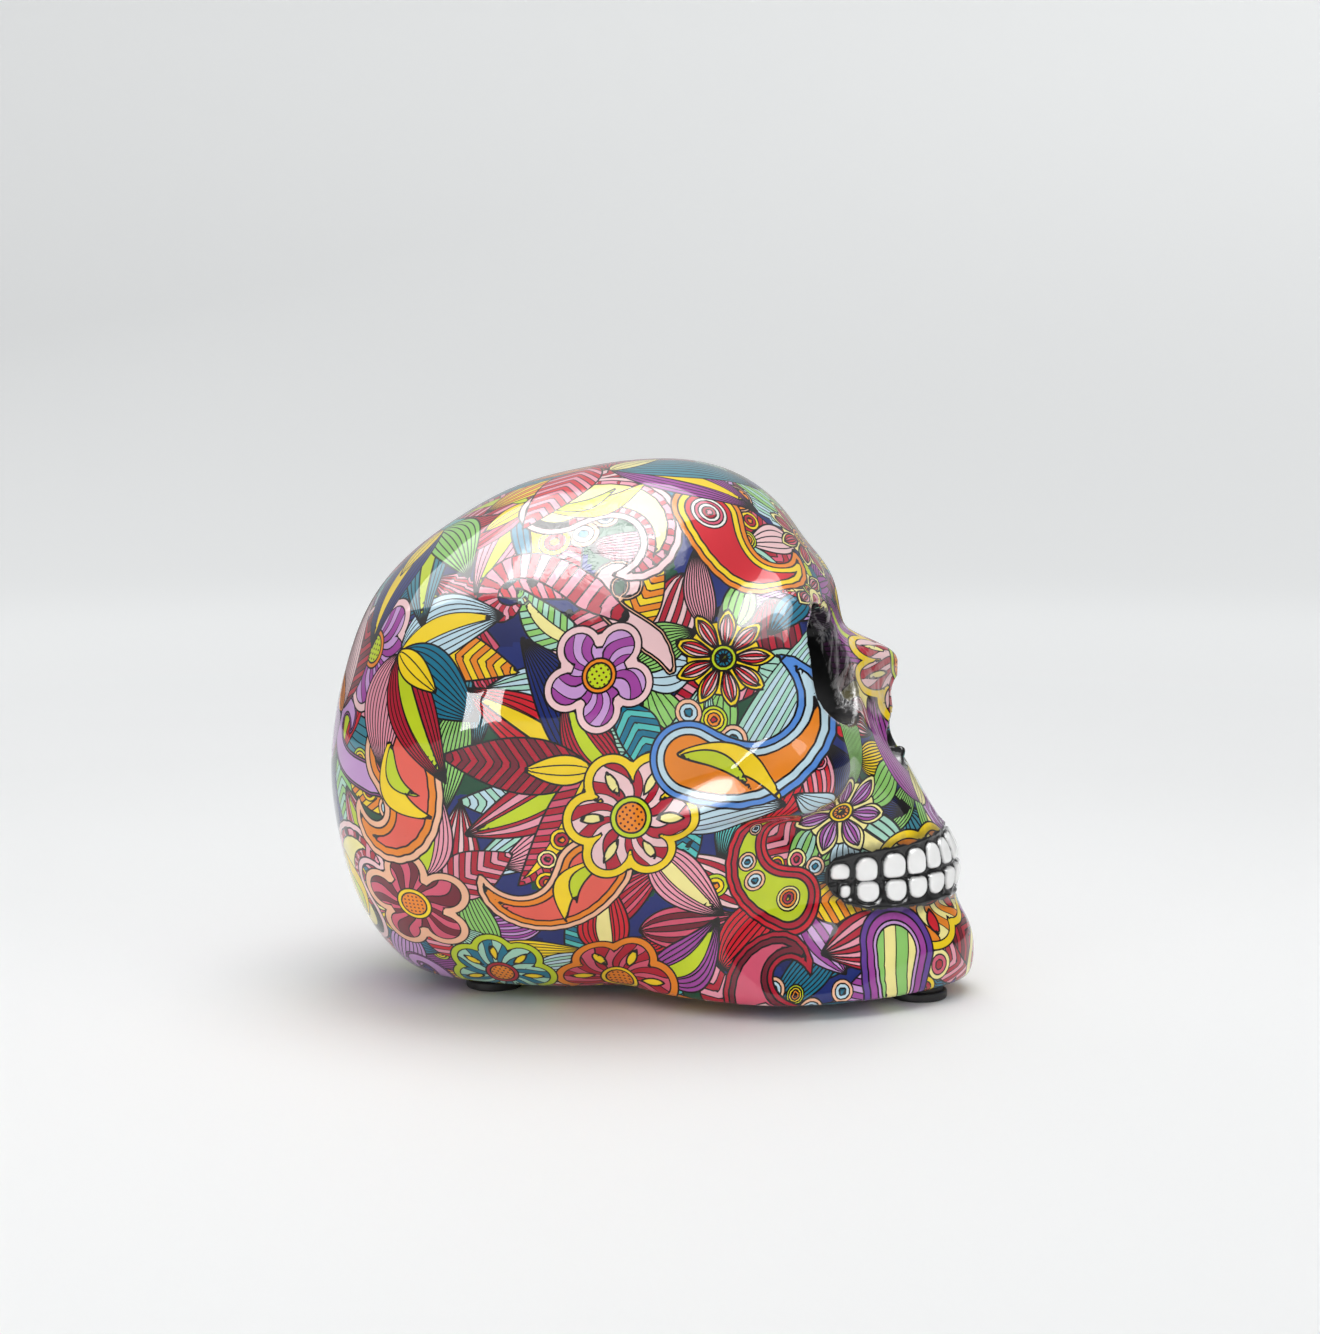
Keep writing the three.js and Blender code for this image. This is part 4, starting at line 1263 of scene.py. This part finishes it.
def lathe(name, profile_mm, cx, cy, n=96, smooth=35):
    """A closed solid of revolution. profile_mm runs from the axis to the axis, (radius, z), outside to the right going up."""
    pr = np.array(profile_mm, float)
    a = np.arange(n) * 2 * PI / n
    ring = pr[1:-1]
    V = [np.array([[cx, cy, pr[0, 1]]])]
    for r, z in ring:
        V.append(np.stack([cx + r * np.cos(a), cy + r * np.sin(a), np.full(n, z)], 1))
    V.append(np.array([[cx, cy, pr[-1, 1]]]))
    V = np.concatenate(V)
    j = np.arange(n)
    k = (j + 1) % n
    F = [np.stack([np.zeros(n, int), 1 + k, 1 + j, 1 + j], 1)]
    for i in range(len(ring) - 1):
        p, q = 1 + i * n, 1 + (i + 1) * n
        F.append(np.stack([p + j, p + k, q + k, q + j], 1))
    p, e = 1 + (len(ring) - 1) * n, len(V) - 1
    F.append(np.stack([p + j, p + k, np.full(n, e), np.full(n, e)], 1))
    ob, _ = make_mesh(name, V, np.concatenate(F))
    return ob


def arc(cx, cz, r, a0, a1, n=5):
    return [(cx + r * math.cos(math.radians(a0 + (a1 - a0) * i / n)), cz + r * math.sin(math.radians(a0 + (a1 - a0) * i / n))) for i in range(n + 1)]


def build_skull():
    V, F, N = build_skin(STEP)
    S = Surface(V, N, F)
    layout(S)
    d, t, v, off_arch = tooth_field(V)
    paint = paint_field(V, t, v, off_arch)
    q = V.copy()
    thin = np.exp(-((np.abs(q[:, 1]) - 9) / 7.0) ** 2) * np.clip((q[:, 0] - 54) / 6, 0, 1) * np.clip((q[:, 2] - 76) / 8, 0, 1) * np.clip((112 - q[:, 2]) / 6, 0, 1)
    W = V.copy()
    W[:, 0] += SHIFT_X
    ob, keep = make_mesh("printed_skull_skin", W, F, N)
    me = ob.data

    def fill(name, kind, domain, field, data):
        me.attributes.new(name, kind, domain).data.foreach_set(field, np.ascontiguousarray(data, dtype=np.float32).ravel())
    fill("tooth", "FLOAT", "POINT", "value", np.clip(d, -4, 6))
    fill("paint", "FLOAT", "POINT", "value", np.clip(paint, -8, 12))
    fill("thin", "FLOAT", "POINT", "value", thin)
    fill("gum", "FLOAT", "POINT", "value", np.clip((58 - V[:, 2]) / 4, 0, 1))
    q[:, 1] = np.abs(q[:, 1])
    sunk = -uncut(q)
    wall = np.clip((22.8 - q[:, 1]) / 4, 0, 1) * np.clip((sunk - 0.1) / 1.0, 0, 1) * np.clip((12 - sunk) / 4, 0, 1) * np.clip((q[:, 0] - 46) / 4, 0, 1) * np.clip((q[:, 2] - 82) / 3, 0, 1)
    rim = np.exp(-(((q[:, 2] - 88.5) / 2.2) ** 2)) * np.clip((34 - q[:, 1]) / 6, 0, 1) * np.clip((q[:, 1] - 16) / 4, 0, 1) * np.clip((q[:, 0] - 52) / 4, 0, 1) * np.clip(1.6 - np.abs(sunk - 0.6), 0, 1)
    crease = sum(np.exp(-((np.linalg.norm(V - np.array(c, float), axis=1) / r) ** 2)) for c, r in (((-11, -45, 137), 15), ((44, 33, 126), 10), ((-62, 34, 121), 12), ((-30, 22, 152), 9)))
    fill("crease", "FLOAT", "POINT", "value", np.clip(crease, 0, 1))
    fill("scuff", "FLOAT", "POINT", "value", np.clip(np.maximum(wall, rim) * (np.abs(q[:, 1]) > 10), 0, 1))
    fill("ground", "FLOAT", "FACE", "value", ground(S.C))
    for k in range(SLOTS):
        fill("print_place_%d" % k, "FLOAT_VECTOR", "CORNER", "vector", S.P[k][keep])
        fill("print_first_%d" % k, "FLOAT_COLOR", "FACE", "color", S.A[k])
        fill("print_second_%d" % k, "FLOAT_COLOR", "FACE", "color", S.B[k])
    me.materials.append(skull_material())
    return ob


# ------------------------------------------------------------------ the model
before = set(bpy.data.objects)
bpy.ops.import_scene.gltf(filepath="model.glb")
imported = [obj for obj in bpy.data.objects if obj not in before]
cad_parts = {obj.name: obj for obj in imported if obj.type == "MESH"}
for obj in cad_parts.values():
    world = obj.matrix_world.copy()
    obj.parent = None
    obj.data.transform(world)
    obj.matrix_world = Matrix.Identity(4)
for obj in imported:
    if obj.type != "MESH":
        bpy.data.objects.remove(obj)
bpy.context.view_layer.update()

skull = build_skull()
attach(skull, "root")
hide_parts("skull_casting")

rubber = rubber_material()
foam = plain_material("foam_adhesive", (0.035, 0.035, 0.034), 0.8)
fibre = plain_material("black_fibre_disc", (0.022, 0.022, 0.023), 0.62, 1100, 0.00012)

for side, sy in (("left", 1), ("right", -1)):
    for end, fx_, fy_ in (("rear", -46.0, 14.0), ("front", 81.0, 9.5)):
        node = "foot_%s_%s" % (end, side)
        x, y = fx_ + SHIFT_X, sy * fy_
        foot = lathe("rubber_" + node, [(0, 0.12), (6.2, 0.12)] + arc(6.6, 0.32, 0.3, 200, 270, 3) + [(7.6, 0.02)] + arc(7.75, 0.72, 0.70, -90, 0, 5)
                     + arc(7.85, 1.95, 0.6, 0, 78, 6) + [(7.3, 2.60), (0, 2.62)], x, y)
        foot.data.materials.append(rubber)
        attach(foot, "root")
        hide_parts(node)
        pad = lathe("foam_" + node, [(0, 2.64), (7.05, 2.64), (7.15, 2.72), (7.17, 3.3), (7.12, 3.86), (7.05, 3.92), (0, 3.92)], x, y)
        pad.data.materials.append(foam)
        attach(pad, "root")
        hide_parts(node + "_adhesive")

disc = lathe("fibre_closing_disc", [(0, 4.08), (6, 4.08), (12.9, 4.05)] + arc(13.45, 4.45, 0.4, -90, 0, 4) + [(13.86, 5.6), (13.6, 5.9), (0, 5.9)], DISC_X + SHIFT_X, 0)
disc.data.materials.append(fibre)
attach(disc, "root")
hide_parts("base_closing_disc")

# ------------------------------------------------------------------ floor, light and camera
def stage_material():
    m, T, b = new_material("pale_paper")
    b.inputs["Base Color"].default_value = (0.865, 0.872, 0.873, 1)
    b.inputs["Roughness"].default_value = 0.62
    b.inputs["Specular IOR Level"].default_value = 0.25
    # the paper glows away from the skull, more to the right and higher up (painted light), and its colour is darker
    # toward the camera (painted shade)
    sep = T.new("ShaderNodeSeparateXYZ")
    T.put(sep.inputs[0], T.new("ShaderNodeTexCoord").outputs["Object"])
    x, y, z = sep.outputs
    # painted shade: the paper's colour is darker toward the camera
    T.put(b.inputs["Base Color"], T.mix(T.ramp(y, -0.80, -0.15, 0.0, 1.0, smooth=True), (0.775, 0.784, 0.785, 1), (0.865, 0.872, 0.873, 1)))
    r = T.math("SQRT", T.math("ADD", T.math("MULTIPLY", x, x), T.math("MULTIPLY", y, y)))
    # painted light: the paper glows more away from the skull, to the right and up the backdrop
    glow = T.math("MULTIPLY", T.ramp(r, 0.34, 1.25, 0.0, 0.37, smooth=True), T.math("MULTIPLY", T.ramp(x, -1.5, 1.5, 0.70, 1.26), T.ramp(z, 0.0, 0.7, 0.66, 1.20, smooth=True)))
    b.inputs["Emission Color"].default_value = (0.98, 1.0, 1.0, 1)
    T.put(b.inputs["Emission Strength"], glow)
    return m


paper = stage_material()


def rings(name, pr, n=128):
    a = np.arange(n) * 2 * PI / n
    V = np.concatenate([np.stack([r * np.cos(a), r * np.sin(a), np.full(n, z)], 1) for r, z in pr])
    j = np.arange(n)
    k = (j + 1) % n
    F = [np.stack([i * n + j, i * n + k, (i + 1) * n + k, (i + 1) * n + j], 1)[:, ::-1] for i in range(len(pr) - 1)]
    ob, _ = make_mesh(name, V, np.concatenate(F))
    ob.data.materials.append(paper)
    return ob


floor = rings("floor", [(0.01, 0), (400, 0), (1300, 0)])
sweep = rings("backdrop", [(1300, 0), (1500, 0)] + [(1500 + 900 * math.sin(a), 900 - 900 * math.cos(a)) for a in np.linspace(0.1, PI / 2, 14)] + [(2400, 1500), (2400, 2400)])
sweep.visible_glossy = False
sweep.visible_diffuse = False

scene = bpy.context.scene
world = bpy.data.worlds.new("studio")
scene.world = world
world.use_nodes = True
WT = Tree(world.node_tree)
world.node_tree.nodes.clear()
wdir = WT.new("ShaderNodeTexCoord").outputs["Generated"]
wsep = WT.new("ShaderNodeSeparateXYZ")
WT.put(wsep.inputs[0], wdir)
wx, wy, wz = wsep.outputs
sky = WT.ramp(wz, 0.05, 0.65, 0.22, 1.0, smooth=True)
behind = WT.math("MULTIPLY", WT.ramp(WT.math("ADD", wy, WT.math("MULTIPLY", wx, -0.25)), 0.25, 0.85, smooth=True), WT.ramp(wz, -0.05, 0.10))
wv = WT.math("MAXIMUM", sky, WT.math("MULTIPLY", behind, 1.5))
wcol = WT.mix(wv, (0, 0, 0, 1), (0.98, 0.99, 1.0, 1))
bg = WT.new("ShaderNodeBackground")
WT.put(bg.inputs[0], wcol)
bg.inputs[1].default_value = 0.54
wo = WT.new("ShaderNodeOutputWorld")
WT.t.links.new(bg.outputs[0], wo.inputs[0])


def soft_light(name, place, aim, size, watts, glossy=True, diffuse=True):
    L = bpy.data.lights.new(name, "AREA")
    L.shape = "RECTANGLE"
    L.size, L.size_y = size
    L.energy = watts
    ob = bpy.data.objects.new(name, L)
    bpy.context.scene.collection.objects.link(ob)
    place, aim = Vector(place), Vector(aim)
    ob.location = place
    ob.rotation_euler = (aim - place).to_track_quat("-Z", "Y").to_euler()
    ob.visible_camera = False
    ob.visible_glossy = glossy
    ob.visible_diffuse = diffuse
    return ob


def toward(point_mm, direction, dist):
    return tuple(np.array(point_mm) * MM + np.array(direction) * dist)


soft_light("overhead_box", (0.10, 0.14, 1.05), (0.02, 0.0, 0.10), (0.80, 0.55), 5.4)
soft_light("overhead_gloss_wide", (-0.22, -0.20, 1.06), (0.0, 0.0, 0.10), (2.40, 1.20), 30.0, diffuse=False)
soft_light("overhead_gloss_mid", (-0.16, -0.25, 1.02), (0.0, 0.0, 0.10), (1.70, 0.86), 15.0, diffuse=False)
soft_light("overhead_gloss", (-0.12, -0.34, 0.99), (0.0, 0.0, 0.10), (0.80, 0.46), 10.0, diffuse=False)
soft_light("window_pane_1", toward((-38.6, -64.9, 90.8), (-0.560, -0.828, 0.006), 1.7), (-0.0386, -0.0649, 0.0908), (0.22, 0.44), 4.8)
soft_light("window_pane_2", toward((-38.6, -64.9, 90.8), (-0.425, -0.905, 0.010), 1.7), (-0.0386, -0.0649, 0.0908), (0.24, 0.44), 4.8)
soft_light("front_fill", (0.35, -1.7, 0.95), (0, 0, 0.09), (1.7, 0.8), 3.0, glossy=False)
soft_light("face_fill", (1.6, -0.7, 0.70), (0.05, 0, 0.07), (1.2, 0.8), 4.4, glossy=False)
soft_light("back_fill", (-1.1, 1.3, 0.90), (0, 0, 0.07), (1.4, 1.0), 1.8, glossy=False)

cam = bpy.data.cameras.new("camera")
cam.sensor_fit = "VERTICAL"
cam.sensor_height = 36
cam.lens = 2500 * 36 / 1334
cam.shift_x, cam.shift_y = 8 / 1334, 52 / 1334
cam.clip_start, cam.clip_end = 0.01, 20
co = bpy.data.objects.new("camera", cam)
scene.collection.objects.link(co)
az, el = math.radians(8), math.radians(8)
back = Vector((math.sin(az) * math.cos(el), -math.cos(az) * math.cos(el), math.sin(el)))
right = Vector((math.cos(az), math.sin(az), 0))
upv = back.cross(right)
R = Matrix((right, upv, back)).transposed().to_4x4()
co.matrix_world = Matrix.Translation(Vector((SHIFT_X * MM, 0, 0.080)) + back * 0.750) @ R
scene.camera = co
scene.view_settings.view_transform = "Standard"
